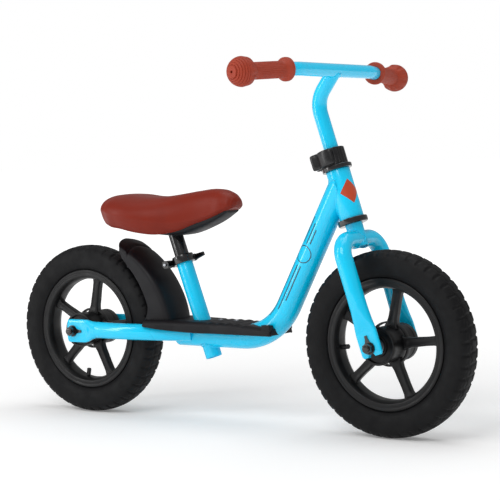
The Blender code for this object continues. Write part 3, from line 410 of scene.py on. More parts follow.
def finish(key):
    """The material of this finish, made once."""
    if key not in made_finishes:
        values = {name: value for name, value in FINISHES[key].items() if name != "slot"}
        made_finishes[key] = make_finish(**values)
        if key == "saddle":
            add_pebbles(made_finishes[key])
    return made_finishes[key]


def fit(obj, body, finish_name, *nodes):
    """Gives a piece its finish, rides it on its body and hides its CAD nodes."""
    obj.data.materials.clear()
    obj.data.materials.append(finish(finish_name))
    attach(obj, body)
    if nodes:
        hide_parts(*nodes)


def repaint(node_name, finish_name):
    """Gives a CAD node that stays in view its finish."""
    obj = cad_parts[node_name]
    obj.data.materials.clear()
    obj.data.materials.append(finish(finish_name))


def add_weld(name, body, end, count, tube, radius):
    """A weld bead round the end of one tube, raised square to the axis of the tube met."""
    line = resampled(end, count)
    origin, rows = tube
    out = line - origin
    out -= (out @ rows[2])[:, None] * rows[2]
    out /= np.linalg.norm(out, axis=1)[:, None]
    fit(Shape().skin(bead(line, out, radius), loop_u=True).make(name), body, "enamel")


def stretched(ring_of_points, end, steps):
    """Rings between a ring and the end that it's drawn out to, with the end itself."""
    share = np.linspace(0, 1, steps)[1:, None, None]
    return ring_of_points[None] * (1 - share) + end[None] * share


# --- frame -------------------------------------------------------------------------------
def main_path():
    """Centreline of the bent main tube up to where its last straight begins, and the
    direction of that straight."""
    up = np.array([math.sin(DOWN_TILT), 0, math.cos(DOWN_TILT)])
    line = rounded([MAIN_REAR, MAIN_CORNER, np.array(MAIN_CORNER) + up * 0.29], [0, MAIN_BEND, 0], 24)
    return line[:-1], up


def main_rings():
    """Rings of the main tube: round its path, then straight on to meet the head tube."""
    line, up = main_path()
    side = np.array([0.0, 1.0, 0.0])
    bent = sweep(np.vstack([line, line[-1] + up * 0.01]), side, MAIN_R, MAIN_R, 2.0, 48)[:-1]
    end = cope(bent[-1], up, STEER, HEAD_R - 0.0004)
    return np.concatenate([bent, stretched(bent[-1], end, 40)])


def make_main_tube():
    """The main tube, closed at its rear, with a weld bead round the head tube."""
    rings = main_rings()
    rear = rings[0]
    middle = rear.mean(0)
    cap = np.stack([middle + (rear - middle) * k - np.array([d, 0, 0]) for k, d in
                    ((0.0, 0.0030), (0.5, 0.0028), (0.85, 0.0018), (0.97, 0.0008))])
    obj = Shape().skin(np.concatenate([cap, rings])).make("main_tube_painted")
    fit(obj, "frame", "enamel", "main_tube")
    add_weld("head_weld", "frame", rings[-1], 220, STEER, 0.0016)


def pipe_profile(outer, inner, low, high, lip=0.0005):
    """Closed section of a pipe whose four edges are rounded by the lip."""
    return rounded([(inner, low), (outer, low), (outer, high), (inner, high)], lip, 3, True)


def make_head_tube():
    """The head tube: a pipe's section, its edges rounded, carried round the steering axis."""
    pipe = Shape().skin(turned(pipe_profile(HEAD_R, 0.0171, HEAD_LOW, HEAD_HIGH, 0.0008), STEER, steps=72),
                        loop_u=True)
    fit(pipe.make("head_tube_painted"), "frame", "enamel", "head_tube")


def ring_on_tube(radius, below):
    """Where the seat tube's side meets the bottom tube's top, or its underside."""
    angle = np.arange(120) * TAU / 120
    side = grid_of(radius * np.cos(angle), radius * np.sin(angle), 0.0)
    start = to_world(side, SEAT)
    axis = SEAT[1][2]
    reach = np.sqrt(np.maximum((MAIN_R + 0.0002) ** 2 - start[:, 1] ** 2, 0)) * (-1 if below else 1)
    travel = (MAIN_CORNER[2] + reach - start[:, 2]) / axis[2]
    return start + travel[:, None] * axis


def make_seat_tube():
    """The seat tube: a pipe's section carried round the seat axis, through the bottom tube,
    with a weld bead above and below that tube."""
    pipe = Shape().skin(turned(pipe_profile(SEAT_R, 0.0130, -0.0420, 0.1330), SEAT, steps=64), loop_u=True)
    fit(pipe.make("seat_tube_painted"), "frame", "enamel", "seat_tube")
    for name, below in (("seat_tube_upper_weld", False), ("seat_tube_lower_weld", True)):
        add_weld(name, "frame", ring_on_tube(SEAT_R, below), 150, SEAT, 0.0020)


def make_stay(word, side):
    """A chainstay: a superellipse that runs from an upright plate at the axle, through a
    round tube, into the bottom tube; its sizes follow stations along it."""
    table = np.array([  # x, y, half height, half thickness, squareness, level
        (-0.3257, STAY_Y, 0.0160, 0.0036, 4.0, 0.1520),
        (-0.3249, STAY_Y, 0.0188, 0.0040, 4.4, 0.1520),
        (-0.3225, STAY_Y, 0.0206, 0.0040, 4.6, 0.1520),
        (-0.2855, STAY_Y, 0.0206, 0.0040, 4.6, 0.1525),
        (-0.2795, STAY_Y, 0.0198, 0.0045, 4.0, 0.1530),
        (-0.2695, STAY_Y, 0.0162, 0.0075, 2.6, 0.1545),
        (-0.2605, STAY_Y - 0.0010, 0.0145, 0.0100, 2.1, 0.1555),
        (-0.1850, STAY_Y - 0.0020, 0.0143, 0.0115, 2.0, 0.1555),
        (-0.1560, STAY_Y - 0.0065, 0.0143, 0.0120, 2.0, 0.1555),
        (-0.1250, STAY_Y - 0.0170, 0.0143, 0.0120, 2.0, 0.1550),
        (-0.0950, STAY_Y - 0.0290, 0.0143, 0.0120, 2.0, 0.1545),
        (-0.0750, STAY_Y - 0.0375, 0.0138, 0.0115, 2.0, 0.1540)])
    at = np.concatenate([np.linspace(table[0, 0], table[2, 0], 6, endpoint=False),
                         np.linspace(table[2, 0], table[6, 0], 40, endpoint=False),
                         np.linspace(table[6, 0], -0.0750, 40)])
    y, high, thick, power, level = (np.interp(at, table[:, 0], table[:, k]) for k in range(1, 6))
    bend = at > table[6, 0]
    y[bend] = through(table[6:, 0], table[6:, 1], at[bend])[:, 0]
    path = grid_of(at, side * y, level)
    rings = sweep(path, (0, 0, 1), high, thick, power, 48)
    obj = Shape().skin(rings, caps=(True, True)).make(word + "_stay_painted")
    fit(obj, "frame", "enamel", word + "_stay")


def foot_width(x):
    """Half width of the footrest at each place along the bike."""
    knots = [FOOT_REAR, -0.1505, -0.1470, -0.1250, -0.0900, -0.0200, 0.0985, 0.1010, FOOT_FRONT]
    wide = [0.0560, 0.0595, 0.0612, 0.0575, 0.0480, 0.0375, 0.0355, 0.0345, 0.0325]
    return np.interp(x, knots, wide)


def make_footrest():
    """Foot board: at each place along it a closed channel section with a rounded shoulder.
    Its top has three broad cross waves in front of the seat tube and slopes down towards
    two raised end blocks, one each side of the tube."""
    x = np.concatenate([[FOOT_REAR, FOOT_REAR + 0.0003], np.linspace(-0.1505, 0.1020, 240),
                        [FOOT_FRONT - 0.0003, FOOT_FRONT]])
    half = foot_width(x)
    ends = np.minimum(unit((x - FOOT_REAR) / 0.0030), unit((FOOT_FRONT - x) / 0.0025))
    top = FOOT_TOP - np.clip(x - 0.022, 0, None) * math.tan(FOOT_SLOPE) \
        - 0.0016 * (1 - np.sqrt(unit(1 - (1 - ends) ** 2)))
    share = np.linspace(-1, 1, 61)[None]
    shoulder = unit((np.abs(share) * half[:, None] - half[:, None] + 0.0085) / 0.0085)
    drop = 0.0070 * (1 - np.sqrt(unit(1 - shoulder ** 2)))
    zone = unit((0.052 - x) / 0.006) * unit((x + 0.036) / 0.006)
    wave = 0.0022 * np.abs(np.sin(math.pi * (x + 0.010) / 0.0185)) ** 0.7
    z_top = top[:, None] - 0.0022 + np.where(zone > 0, wave, 0.0022)[:, None] * (1 - shoulder) - drop
    y_top = half[:, None] * share
    low = np.interp(x, [-0.152, -0.120, -0.088, -0.050, 0.103], [0.1666, 0.1620, 0.1591, 0.1573, 0.1573])
    under = np.maximum(top - 0.0110, low + 0.0010)

    def column(edge, z):
        return half[:, None] * np.sign(edge) - (SHEET * np.sign(edge) if abs(edge) < 1 else 0), z[:, None]
    parts = [(y_top, z_top), column(1, low + 0.0008), column(0.9, low), column(0.9, under),
             column(-0.9, under), column(-0.9, low), column(-1, low + 0.0008)]
    y = np.hstack([part[0] for part in parts])
    z = np.hstack([part[1] for part in parts])
    board = Shape().skin(grid_of(x[:, None], y, z), caps=(True, True))
    for side in (-1, 1):
        path = np.array([(at, side * 0.0285, 0.1700) for at in (0.0850, 0.0856, 0.1014, 0.1022)])
        half = [0.0052, 0.0060, 0.0060, 0.0052]
        board.skin(sweep(path, (0, 1, 0), half, half, 7.0, 32), caps=(True, True))
    fit(board.make("footrest_board", 30), "frame", "guard", "footrest")


def make_mudguard():
    """Rear mudguard: an arched section carried round the wheel, its sides reaching back to
    the board at the foot, to a pointed tail set off by a soft crease."""
    rows, columns = 110, 61
    share = np.linspace(0, 1, rows)[:, None]
    across = np.linspace(-1, 1, columns)[None]
    wide = np.abs(across)
    flick = unit((share - 0.84) / 0.16)
    crest = 0.2068 - 0.0255 * share ** 1.15
    half = 0.0345 + 0.0030 * share
    lip = 0.1640 + 0.002 * share - 0.0120 * unit(1 - share / 0.20) ** 1.5
    over = unit(wide / 0.70)
    bow = 1 - np.sqrt(unit(1 - over ** 2.1))
    down = unit((wide - 0.70) / 0.30)
    r = crest - (crest - lip) * (0.50 * bow + 0.50 * down)
    r = r - 0.0022 * np.exp(-((share - 0.85) / 0.022) ** 2) + 0.0020 * flick
    y = np.sign(across) * half * np.sin(over * math.pi / 2) ** 0.95
    end = math.radians(63.2) - math.radians(11.5) * wide ** 1.3
    foot = np.arcsin(np.clip((FOOT_TOP - 0.0012 - WHEEL_R) / r, -1, 1))
    angle = foot + (end - foot) * share
    grid = to_world(grid_of(r * np.cos(angle), y, r * np.sin(angle)), REAR)
    obj = Shape().skin(grid, loop_v=False).make("rear_mudguard_shell", 60, False)
    shell = obj.modifiers.new("Wall", "SOLIDIFY")
    shell.thickness = SHEET
    shell.offset = 0
    fit(obj, "frame", "guard", "rear_mudguard")


def make_brackets():
    """Two painted steel straps under the footrest, bent down each side of the tube."""
    for word, middle in (("rear", -0.0230), ("front", 0.0100)):
        shape = Shape()
        for side in (-1, 1):
            path = rounded([(middle, side * 0.0238, 0.1600), (middle, side * 0.0238, 0.1728),
                            (middle, side * 0.0290, 0.1728)], 0.0015, 4)
            shape.skin(sweep(path, (1, 0, 0), 0.0110, 0.0012, 6.0, 28), caps=(True, True))
        fit(shape.make("footrest_%s_strap" % word), "frame", "enamel", "footrest_%s_bracket" % word)


# --- decals ------------------------------------------------------------------------------
def on_down_tube(along, angle, lift=DECAL_LIFT):
    """Points on the main tube: metres up along its straight from the corner of its bend,
    followed round the bend below that, and an angle round it from the rider's right,
    positive towards the front."""
    line, up = main_path()
    straight = float((line[-1] - MAIN_CORNER) @ up)
    line = np.vstack([line, line[-1] + up * 0.25])
    steps = np.linalg.norm(np.diff(line, axis=0), axis=1)
    length = np.concatenate([[0], np.cumsum(steps)])
    length += straight - length[-2]
    ahead_of = tangents(line)
    middle = np.stack([np.interp(along, length, line[:, k]) for k in range(3)], -1)
    t = np.stack([np.interp(along, length, ahead_of[:, k]) for k in range(3)], -1)
    t /= np.linalg.norm(t, axis=-1)[..., None]
    ahead = np.stack([t[..., 2], 0 * t[..., 0], -t[..., 0]], -1)
    right = np.array([0.0, -1.0, 0.0])
    r = MAIN_R + lift
    return middle + r * (np.cos(angle)[..., None] * right + np.sin(angle)[..., None] * ahead)


def on_head_tube(along, angle, lift=DECAL_LIFT):
    """Points on the head tube: metres along the steering axis and an angle round it from
    straight ahead, positive towards the rider's right."""
    r = HEAD_R + lift
    local = np.stack([r * np.cos(angle), -r * np.sin(angle), along], -1)
    return to_world(local, STEER)


def patch(name, surface, along, angle):
    """A thin decal: a grid of points just proud of a tube, closed round to its surface."""
    top = surface(along, angle)
    under = surface(along, angle, -0.0002)
    loop_top = np.concatenate([top[0], top[1:, -1], top[-1, -2::-1], top[-2:0:-1, 0]])
    loop_low = np.concatenate([under[0], under[1:, -1], under[-1, -2::-1], under[-2:0:-1, 0]])
    shape = Shape().skin(top, loop_v=False).skin(np.stack([loop_top, loop_low]))
    shape.skin(under, loop_v=False)
    return shape.make(name, 30)


def make_decals():
    """Three slim stripes above and below a plain ring on the down tube's right side, and
    a plain diamond on the head tube."""
    lines = [(0.1810, 0.2271, -38), (0.1808, 0.2191, -15), (0.1838, 0.2100, 4),
             (0.0316, 0.1404, -43), (0.0556, 0.1411, -15), (0.0765, 0.1416, 4)]
    for i, (low, high, turn) in enumerate(lines):
        along, width = np.meshgrid(np.linspace(low, high, 40), np.linspace(-1, 1, 5), indexing="ij")
        angle = math.radians(turn) + width * 0.0009 / MAIN_R
        fit(patch("down_tube_stripe_%d" % (i + 1), on_down_tube, along, angle), "frame", "ink")
    turn, radius = np.meshgrid(np.linspace(0, TAU, 97), np.array([0.0138, 0.0145, 0.0152]), indexing="ij")
    along = 0.1624 + radius * np.cos(turn)
    angle = math.radians(-10) + radius * np.sin(turn) / MAIN_R
    top, under = on_down_tube(along, angle)[:-1], on_down_tube(along, angle, -0.0002)[:-1]
    roundel = np.concatenate([top, under[:, ::-1]], 1)
    fit(Shape().skin(roundel, loop_u=True).make("down_tube_ring", 30), "frame", "ink")
    u, v = np.meshgrid(np.linspace(-1, 1, 15), np.linspace(-1, 1, 15), indexing="ij")
    along = 0.2540 + 0.0205 * (u + v) / 2
    angle = math.radians(27) + 0.0180 * (u - v) / 2 / HEAD_R
    fit(patch("head_tube_diamond", on_head_tube, along, angle), "frame", "orange")


# --- wheels ------------------------------------------------------------------------------
def spoke(first, place):
    """One spoke: a flanged section whose width follows a smooth curve from its wide root
    to its flared foot in the rim, with a shallow channel down each face."""
    knots = [0.0285, 0.0340, 0.0400, 0.0550, 0.0780, 0.0860, 0.0915, 0.0935]
    wide = [0.0125, 0.0102, 0.0086, 0.0078, 0.0074, 0.0080, 0.0108, 0.0130]
    at = np.linspace(knots[0], knots[-1], 40)
    w = through(knots, wide, at)[:, 0]
    c, s = ring(40, 5.0)
    x = w[:, None] * c[None]
    between = unit((at - 0.034) / 0.006) * unit((0.089 - at) / 0.005)
    channel = 1 - 0.16 * unit(1 - (c[None] / 0.62) ** 4) * between[:, None]
    y = 0.0070 * s[None] * channel
    r = at[:, None]
    ca, sa = math.cos(first), math.sin(first)
    return to_world(grid_of(r * ca - x * sa, y, r * sa + x * ca), place)


def rim_section():
    """The rim's closed section as (radius, y): a barrel with two flanged walls, mirrored."""
    right = [(0.0905, 0.0080), (0.0908, 0.0094), (0.0944, 0.0176), (0.0956, 0.0185), (0.0995, 0.0185),
             (0.1005, 0.0179), (0.1025, 0.0179), (0.1035, 0.0185), (0.1060, 0.0185), (0.1070, 0.0178),
             (0.1070, 0.0162), (0.0978, 0.0162), (0.0975, 0.0120), (0.0940, 0.0080)]
    return np.array(right + [(r, -y) for r, y in reversed(right)])


def hub_section():
    """The hub's closed section as (radius, y): a bore, a barrel and a groove in each face,
    its corners rounded."""
    right = [(0.0085, 0.0313), (0.0130, 0.0313), (0.0130, 0.0400), (0.0170, 0.0400), (0.0174, 0.0352),
             (0.0264, 0.0352), (0.0272, 0.0400), (0.0310, 0.0400), (0.0310, 0.0300), (0.0302, 0.0290)]
    both = right + [(r, -y) for r, y in reversed(right)]
    return rounded(both, 0.0006, 2, True)


def make_wheel(end, place, first):
    """Rim, hub barrel, root ring and five spokes, moulded in one."""
    shape = Shape()
    shape.skin(turned(rim_section(), place, "y", 120), loop_u=True)
    shape.skin(turned(hub_section(), place, "y", 72), loop_u=True)
    shape.skin(turned(rounded([(0.0338, -0.0045), (0.0368, -0.0045), (0.0368, 0.0045), (0.0338, 0.0045)],
                              0.0009, 2, True), place, "y", 72), loop_u=True)
    for k in range(SPOKES):
        shape.skin(spoke(first + TAU * k / SPOKES, place), caps=(True, True))
    fit(shape.make(end + "_wheel_moulding"), end + "_wheel", "nylon", end + "_wheel")


def tread(r, y, angle, lugs):
    """Depth cut into the tyre: slots between lugs on both shoulders, half a lug apart,
    slots across the middle row, and a wavy groove each side of it."""
    def slots(phase, width):
        wave = np.abs(((angle * lugs / TAU + phase) % 1.0) - 0.5) * 2
        return unit((width - wave) / 0.12)
    wide = np.abs(y)
    left = (y > 0).astype(float)
    shoulder = slots(0.5 * left + 0.12 * (r - 0.146) / 0.02, 0.30)
    on_shoulder = unit((wide - 0.0085) / 0.0012) * unit((r - 0.1425) / 0.0020)
    wavy = 0.0076 + 0.0010 * np.sin(angle * lugs * 2)
    groove = unit(1 - np.abs(wide - wavy) / 0.0015)
    second = unit(1 - np.abs(wide - 0.0150 - 0.0008 * np.sin(angle * lugs * 2 + 1.5)) / 0.0013)
    middle = slots(0.25, 0.24) * unit((wavy - wide) / 0.0008)
    centre = np.maximum(np.maximum(groove, middle), 0.7 * second)
    return 0.0015 * shoulder * on_shoulder + 0.0013 * unit(centre)


def make_tyre(end, place, lugs):
    """Tyre: a smooth curve through the wall's section, with fine rings as a sine of its
    radius, carried round the wheel; the tread's depth is taken off square to the wall."""
    side = [(0.1078, 0.0150), (0.1086, 0.0166), (0.1110, 0.0192), (0.1165, 0.0231), (0.1250, 0.0252),
            (0.1340, 0.0254), (0.1410, 0.0246), (0.1455, 0.0222), (0.1487, 0.0182), (0.1508, 0.0120),
            (0.1518, 0.0055), (0.1520, 0.0)]
    both = np.array(side + [(r, -y) for r, y in reversed(side[:-1])])
    length = np.concatenate([[0], np.cumsum(np.hypot(*np.diff(both, axis=0).T))])
    at = np.linspace(0, length[-1], 72)
    r, y = through(length, both, at).T
    ridges = 0.00035 * np.sin((r - 0.110) / 0.0032 * TAU) * unit((0.1225 - r) / 0.002) \
        * unit((r - 0.1100) / 0.002)
    y = y + np.sign(y) * ridges
    out = np.stack([np.gradient(y), -np.gradient(r)], -1)
    out /= np.linalg.norm(out, axis=1)[:, None]
    flip = np.sign((out * np.stack([r - 0.127, y], -1)).sum(1))
    out *= flip[:, None]
    steps = lugs * 14
    angle = np.arange(steps) * TAU / steps
    depth = tread(r[:, None], y[:, None], angle[None], lugs)
    rr = r[:, None] - depth * unit(out[:, :1]) ** 0.5
    yy = y[:, None] - depth * out[:, 1:2]
    inner_r = np.array([0.0990, 0.0990])[:, None] + 0 * angle
    inner_y = np.array([-0.0150, 0.0150])[:, None] + 0 * angle
    rr, yy = np.vstack([rr, inner_r]), np.vstack([yy, inner_y])
    grid = to_world(np.stack([rr * np.cos(angle), yy, -rr * np.sin(angle)], -1), place)
    obj = Shape().skin(grid, loop_u=True).make(end + "_tyre_tread", 50)
    fit(obj, end + "_wheel", "tyre", end + "_tyre")


def make_axle(end, place, outer, body):
    """Threaded axle ends, domed-edge hexagon nuts and flat washers with a turned tab."""
    tip, pitch = outer + 0.0141, 0.00125
    z = np.concatenate([np.linspace(-tip, -outer + 0.002, 90), np.linspace(outer - 0.002, tip, 90)])
    thread = 0.0046 + 0.0003 * np.sin(TAU * z / pitch)
    profile = np.vstack([[(0, z[0])], np.stack([thread, z], -1), [(0, z[-1])]])
    profile[1, 0] = profile[-2, 0] = 0.0040
    axle = Shape().skin(turned(profile, place, "y", 24))
    fit(axle.make(end + "_axle_threaded"), body, "gloss", end + "_axle")
    for word, side in (("right", -1), ("left", 1)):
        low, high = sorted((side * (outer + 0.0021), side * (outer + 0.0101)))
        nut = Shape().skin(hexagon(0.0150, low, high, place, 0.0044), loop_u=True)
        fit(nut.make("%s_%s_nut_hex" % (end, word), 20), body, "gloss", "%s_%s_nut" % (end, word))
        repaint("%s_%s_tab_washer" % (end, word), "gloss")
        repaint("%s_%s_spacer" % (end, word), "zinc")


# --- fork and bars -----------------------------------------------------------------------
def make_leg(word, side):
    """Fork leg: a superellipse from a slotted flat end, through a round tube, over the
    arch of the crown to the steerer; the flat end's lower edge dips into a slot."""
    y = side * LEG_Y
    foot = -0.0140
    line = rounded([(0, y, foot), (0, y, CROWN), (0, 0, CROWN)], [0, 0.054, 0], 26)
    bend_start = line[1][2]
    z = np.concatenate([np.linspace(foot, 0.0270, 22), np.linspace(0.0290, bend_start, 34)])
    knots = [foot, -0.0110, 0.0, 0.0250, 0.0310, 0.0420, 0.0600, 0.0900, bend_start]
    sizes = np.array([  # half depth, half thickness, squareness
        (0.0160, 0.0042, 3.6), (0.0186, 0.0042, 4.2), (0.0190, 0.0042, 4.2),
        (0.0190, 0.0042, 4.2), (0.0184, 0.0052, 3.4), (0.0166, 0.0090, 2.5),
        (0.0153, 0.0122, 2.0), (LEG_R, LEG_R, 2.0), (LEG_R, LEG_R, 2.0)])
    a, b, power = (np.interp(z, knots, sizes[:, k]) for k in range(3))
    path = np.vstack([grid_of(0.0, y, z), line[2:-1]])
    pad = len(path) - len(z)

    def filled(values, last):
        return np.concatenate([values, np.full(pad, last)])
    rings = sweep(path, (1, 0, 0), filled(a, LEG_R), filled(b, LEG_R), filled(power, 2.0), 56)
    notch = unit((0.0054 - np.abs(rings[:, :, 0])) / 0.0010)
    lift = unit(-path[:, 2] / 0.0140)[:, None]
    rings[:, :, 2] += notch * lift * 0.0100
    world = to_world(rings, STEER)
    end = cope(world[-1], np.array([0.0, -side, 0.0]), STEER, STEERER_R - 0.0004)
    world = np.concatenate([world, stretched(world[-1], end, 8)])
    shape = Shape().skin(world)
    half = np.stack([world[0], np.roll(world[0][::-1], 1, 0)])
    shape.skin(half[:, :29], loop_v=False)
    fit(shape.make(word + "_fork_leg_painted"), "fork", "enamel", word + "_fork_leg")
    add_weld(word + "_crown_weld", "fork", end, 110, STEER, 0.0014)


def make_steering_rings():
    """Steerer pipe and the two dark headset cups, their outer edges rounded."""
    pipe = turned(pipe_profile(STEERER_R, 0.0127, 0.1635, 0.3260), STEER, steps=64)
    fit(Shape().skin(pipe, loop_u=True).make("steerer_painted"), "fork", "enamel", "fork_steerer")
    bore = STEERER_R + 0.0006
    lower = rounded([(bore, 0.2017), (0.0234, 0.2017), (0.0250, 0.2030), (0.0250, 0.2104), (0.0244, 0.2112),
                     (bore, 0.2112)], 0.0006, 3, True)
    upper = rounded([(bore, 0.2943), (0.0246, 0.2943), (0.0250, 0.2947), (0.0250, 0.3003), (0.0240, 0.3013),
                     (bore, 0.3013)], 0.0004, 3, True)
    for name, section, cad in (("lower_headset_cup", lower, "lower_headset_cover"),
                               ("upper_headset_cup", upper, "upper_headset_cover")):
        fit(Shape().skin(turned(section, STEER, steps=80), loop_u=True).make(name), "frame", "gloss", cad)


def make_bar_clamp():
    """Collar with upright flutes in front and two ears behind, and its lever: a strap that
    hugs the collar's right side and thickens into a rounded cam head behind it."""
    low, high = 0.3016, 0.3300
    inner, outer = 0.0147, 0.0205
    rows = rounded([(inner, low), (outer, low), (outer, low + 0.003), (outer, high - 0.003),
                    (outer, high), (inner, high)], [0.0004, 0.0012, 0, 0, 0.0014, 0.0004], 4, True)
    angle = np.arange(176) * TAU / 176
    front = np.exp(-(np.minimum(angle, TAU - angle) / 1.25) ** 4)
    height, radius = rows[:, 1:2], rows[:, :1]
    inside = unit((height - low - 0.002) / 0.001) * unit((high - 0.002 - height) / 0.001)
    r = radius - 0.0010 * (0.5 + 0.5 * np.cos(angle * 18)) ** 2 * front * inside * (radius > 0.019)
    collar = grid_of(r * np.cos(angle), r * np.sin(angle), height)
    shape = Shape().skin(to_world(collar, STEER), loop_u=True)
    for y in (0.0059, -0.0049):
        path = [(x, y, 0.3158) for x in (-0.0150, -0.0180, -0.0320, -0.0335, -0.0340)]
        half = [0.0134, 0.0134, 0.0132, 0.0126, 0.0110]
        local = sweep(path, (0, 1, 0), [0.0040, 0.0038, 0.0036, 0.0034, 0.0026], half, 5.0, 32)
        shape.skin(to_world(local, STEER), caps=(True, True))
    fit(shape.make("bar_clamp_collar"), "fork", "clamp", "handlebar_clamp")
    turn = np.radians(np.linspace(300, 222, 26))
    strap = np.stack([0.0243 * np.cos(turn), 0.0243 * np.sin(turn)], -1)
    head = np.array([(-0.0206, -0.0162), (-0.0232, -0.0161), (-0.0255, -0.0160), (-0.0280, -0.0160),
                     (-0.0305, -0.0160), (-0.0322, -0.0160), (-0.0332, -0.0160), (-0.0336, -0.0160)])
    path = np.vstack([strap, head])
    path = np.column_stack([path, np.full(len(path), 0.3163)])
    thick = np.concatenate([[0.0014, 0.0022, 0.0026], np.full(23, 0.0027),
                            [0.0033, 0.0045, 0.0060, 0.0066, 0.0062, 0.0050, 0.0034, 0.0018]])
    tall = np.concatenate([[0.0085, 0.0116, 0.0128], np.full(26, 0.0131),
                           [0.0130, 0.0128, 0.0124, 0.0116, 0.0100]])
    lever = Shape().skin(to_world(sweep(path, (0, 0, 1), tall, thick, 4.0, 40), STEER), caps=(True, True))
    fit(lever.make("bar_clamp_lever"), "handlebar_lever", "clamp", "handlebar_clamp_lever")
    repaint("handlebar_clamp_bolt", "zinc")


def grip_direction(side):
    """Which way a swept end of the bar points: outwards, back and slightly down."""
    level = math.cos(BAR_DROOP)
    back, out = math.sin(BAR_SWEEP) * level, math.cos(BAR_SWEEP) * level
    return np.array([-back, side * out, -math.sin(BAR_DROOP)])


def make_bars():
    """Bent stem and swept handlebar in one painted piece each, with a weld between."""
    origin, rows = STEER
    low, corner = origin + rows[2] * 0.232, origin + rows[2] * 0.414
    top = np.array(BAR)
    line = rounded([low, corner, top], [0, 0.045, 0], 24)[:-1]
    ahead = (top - corner) / np.linalg.norm(top - corner)
    rings = sweep(np.vstack([line, line[-1] + ahead * 0.01]), (0, 1, 0), STEM_R, STEM_R, 2.0, 48)[:-1]
    bar_frame = (top, np.array([[1.0, 0, 0], [0, 0, 1.0], [0, 1.0, 0]]))
    end = cope(rings[-1], ahead, bar_frame, BAR_R - 0.0003)
    rings = np.concatenate([rings, stretched(rings[-1], end, 6)])
    fit(Shape().skin(rings, caps=(True, False)).make("stem_painted"), "handlebar", "enamel", "stem")
    add_weld("bar_weld", "handlebar", end, 110, bar_frame, 0.0016)
    corners = [top + (0, s * BAR_CORNER, 0) for s in (-1, 1)]
    ends = [c + grip_direction(s) * 0.132 for c, s in zip(corners, (-1, 1))]
    line = rounded([ends[0], *corners, ends[1]], [0, 0.09, 0.09, 0], 12)
    bar = Shape().skin(sweep(line, (0, 0, 1), BAR_R, BAR_R, 2.0, 44), caps=(True, True))
    fit(bar.make("handlebar_painted"), "handlebar", "enamel", "handlebar")


def make_grip(word, side):
    """Grip: an end flange, a shaft with fine lengthwise ribs and a ball. Round grooves run
    over the ball's outer half to a flat end with a vent; its inner half is lobed."""
    bore, ball, ball_r = BAR_R + 0.0004, 0.1000, 0.0236
    flange = [(bore, 0.0), (0.0175, 0.0), (0.0189, 0.0012), (0.0191, 0.0040), (0.0189, 0.0068),
              (0.0174, 0.0088), (0.0150, 0.0110), (0.0137, 0.0140)]
    shaft = [(0.0133, h) for h in np.linspace(0.0165, 0.0775, 28)]
    turn = np.radians(np.linspace(-54, 63, 110))
    arc_length = (turn - math.radians(4)) * ball_r
    groove = unit(np.cos(TAU * arc_length / 0.0044 + math.pi) * 1.6 - 0.75) * (arc_length > 0)
    r = ball_r - 0.0012 * groove
    globe = np.stack([r * np.cos(turn), ball + r * np.sin(turn)], -1)
    close = [(0.0100, 0.1222), (0.0092, 0.1228), (0.0030, 0.1228), (0.0022, 0.1222), (0.0020, 0.1160),
             (0.0, 0.1160)]
    profile = np.vstack([flange, shaft, globe, close])

    def wave(height, angle):
        ribs = 0.00030 * np.cos(angle * 30) * unit((height - 0.016) / 0.003) \
            * unit((0.076 - height) / 0.003)
        lobes = 0.0021 * (0.5 - 0.5 * np.cos(angle * 11)) ** 1.5
        return ribs - lobes * np.exp(-((height - 0.0915) / 0.0075) ** 4)
    out = grip_direction(side)
    across = np.array([math.cos(BAR_SWEEP), side * math.sin(BAR_SWEEP), 0])
    origin = np.array(BAR) + (0, side * BAR_CORNER, 0) + out * 0.022
    place = (origin, np.stack([across, np.cross(out, across), out]))
    shape = Shape().skin(turned(profile, place, steps=176, wave=wave))
    fit(shape.make(word + "_grip_moulded", 32), "handlebar", "grip", word + "_grip")


# --- seat --------------------------------------------------------------------------------
PAD = np.array([  # x, half width, top, widest height, lower edge
    (-0.2472, 0.024, 0.3790, 0.3720, 0.3650), (-0.2445, 0.042, 0.3865, 0.3705, 0.3570),
    (-0.2370, 0.058, 0.3925, 0.3695, 0.3490), (-0.2200, 0.070, 0.3962, 0.3670, 0.3410),
    (-0.1950, 0.075, 0.3968, 0.3620, 0.3370), (-0.1600, 0.072, 0.3935, 0.3550, 0.3300),
    (-0.1250, 0.060, 0.3932, 0.3490, 0.3265), (-0.0900, 0.045, 0.3965, 0.3460, 0.3315),
    (-0.0550, 0.034, 0.4010, 0.3510, 0.3430), (-0.0200, 0.0285, 0.4038, 0.3610, 0.3550),
    (0.0030, 0.0255, 0.3998, 0.3705, 0.3655), (0.0150, 0.0195, 0.3925, 0.3740, 0.3700),
    (0.0196, 0.0125, 0.3866, 0.3762, 0.3735), (0.0210, 0.0060, 0.3828, 0.3780, 0.3765)])


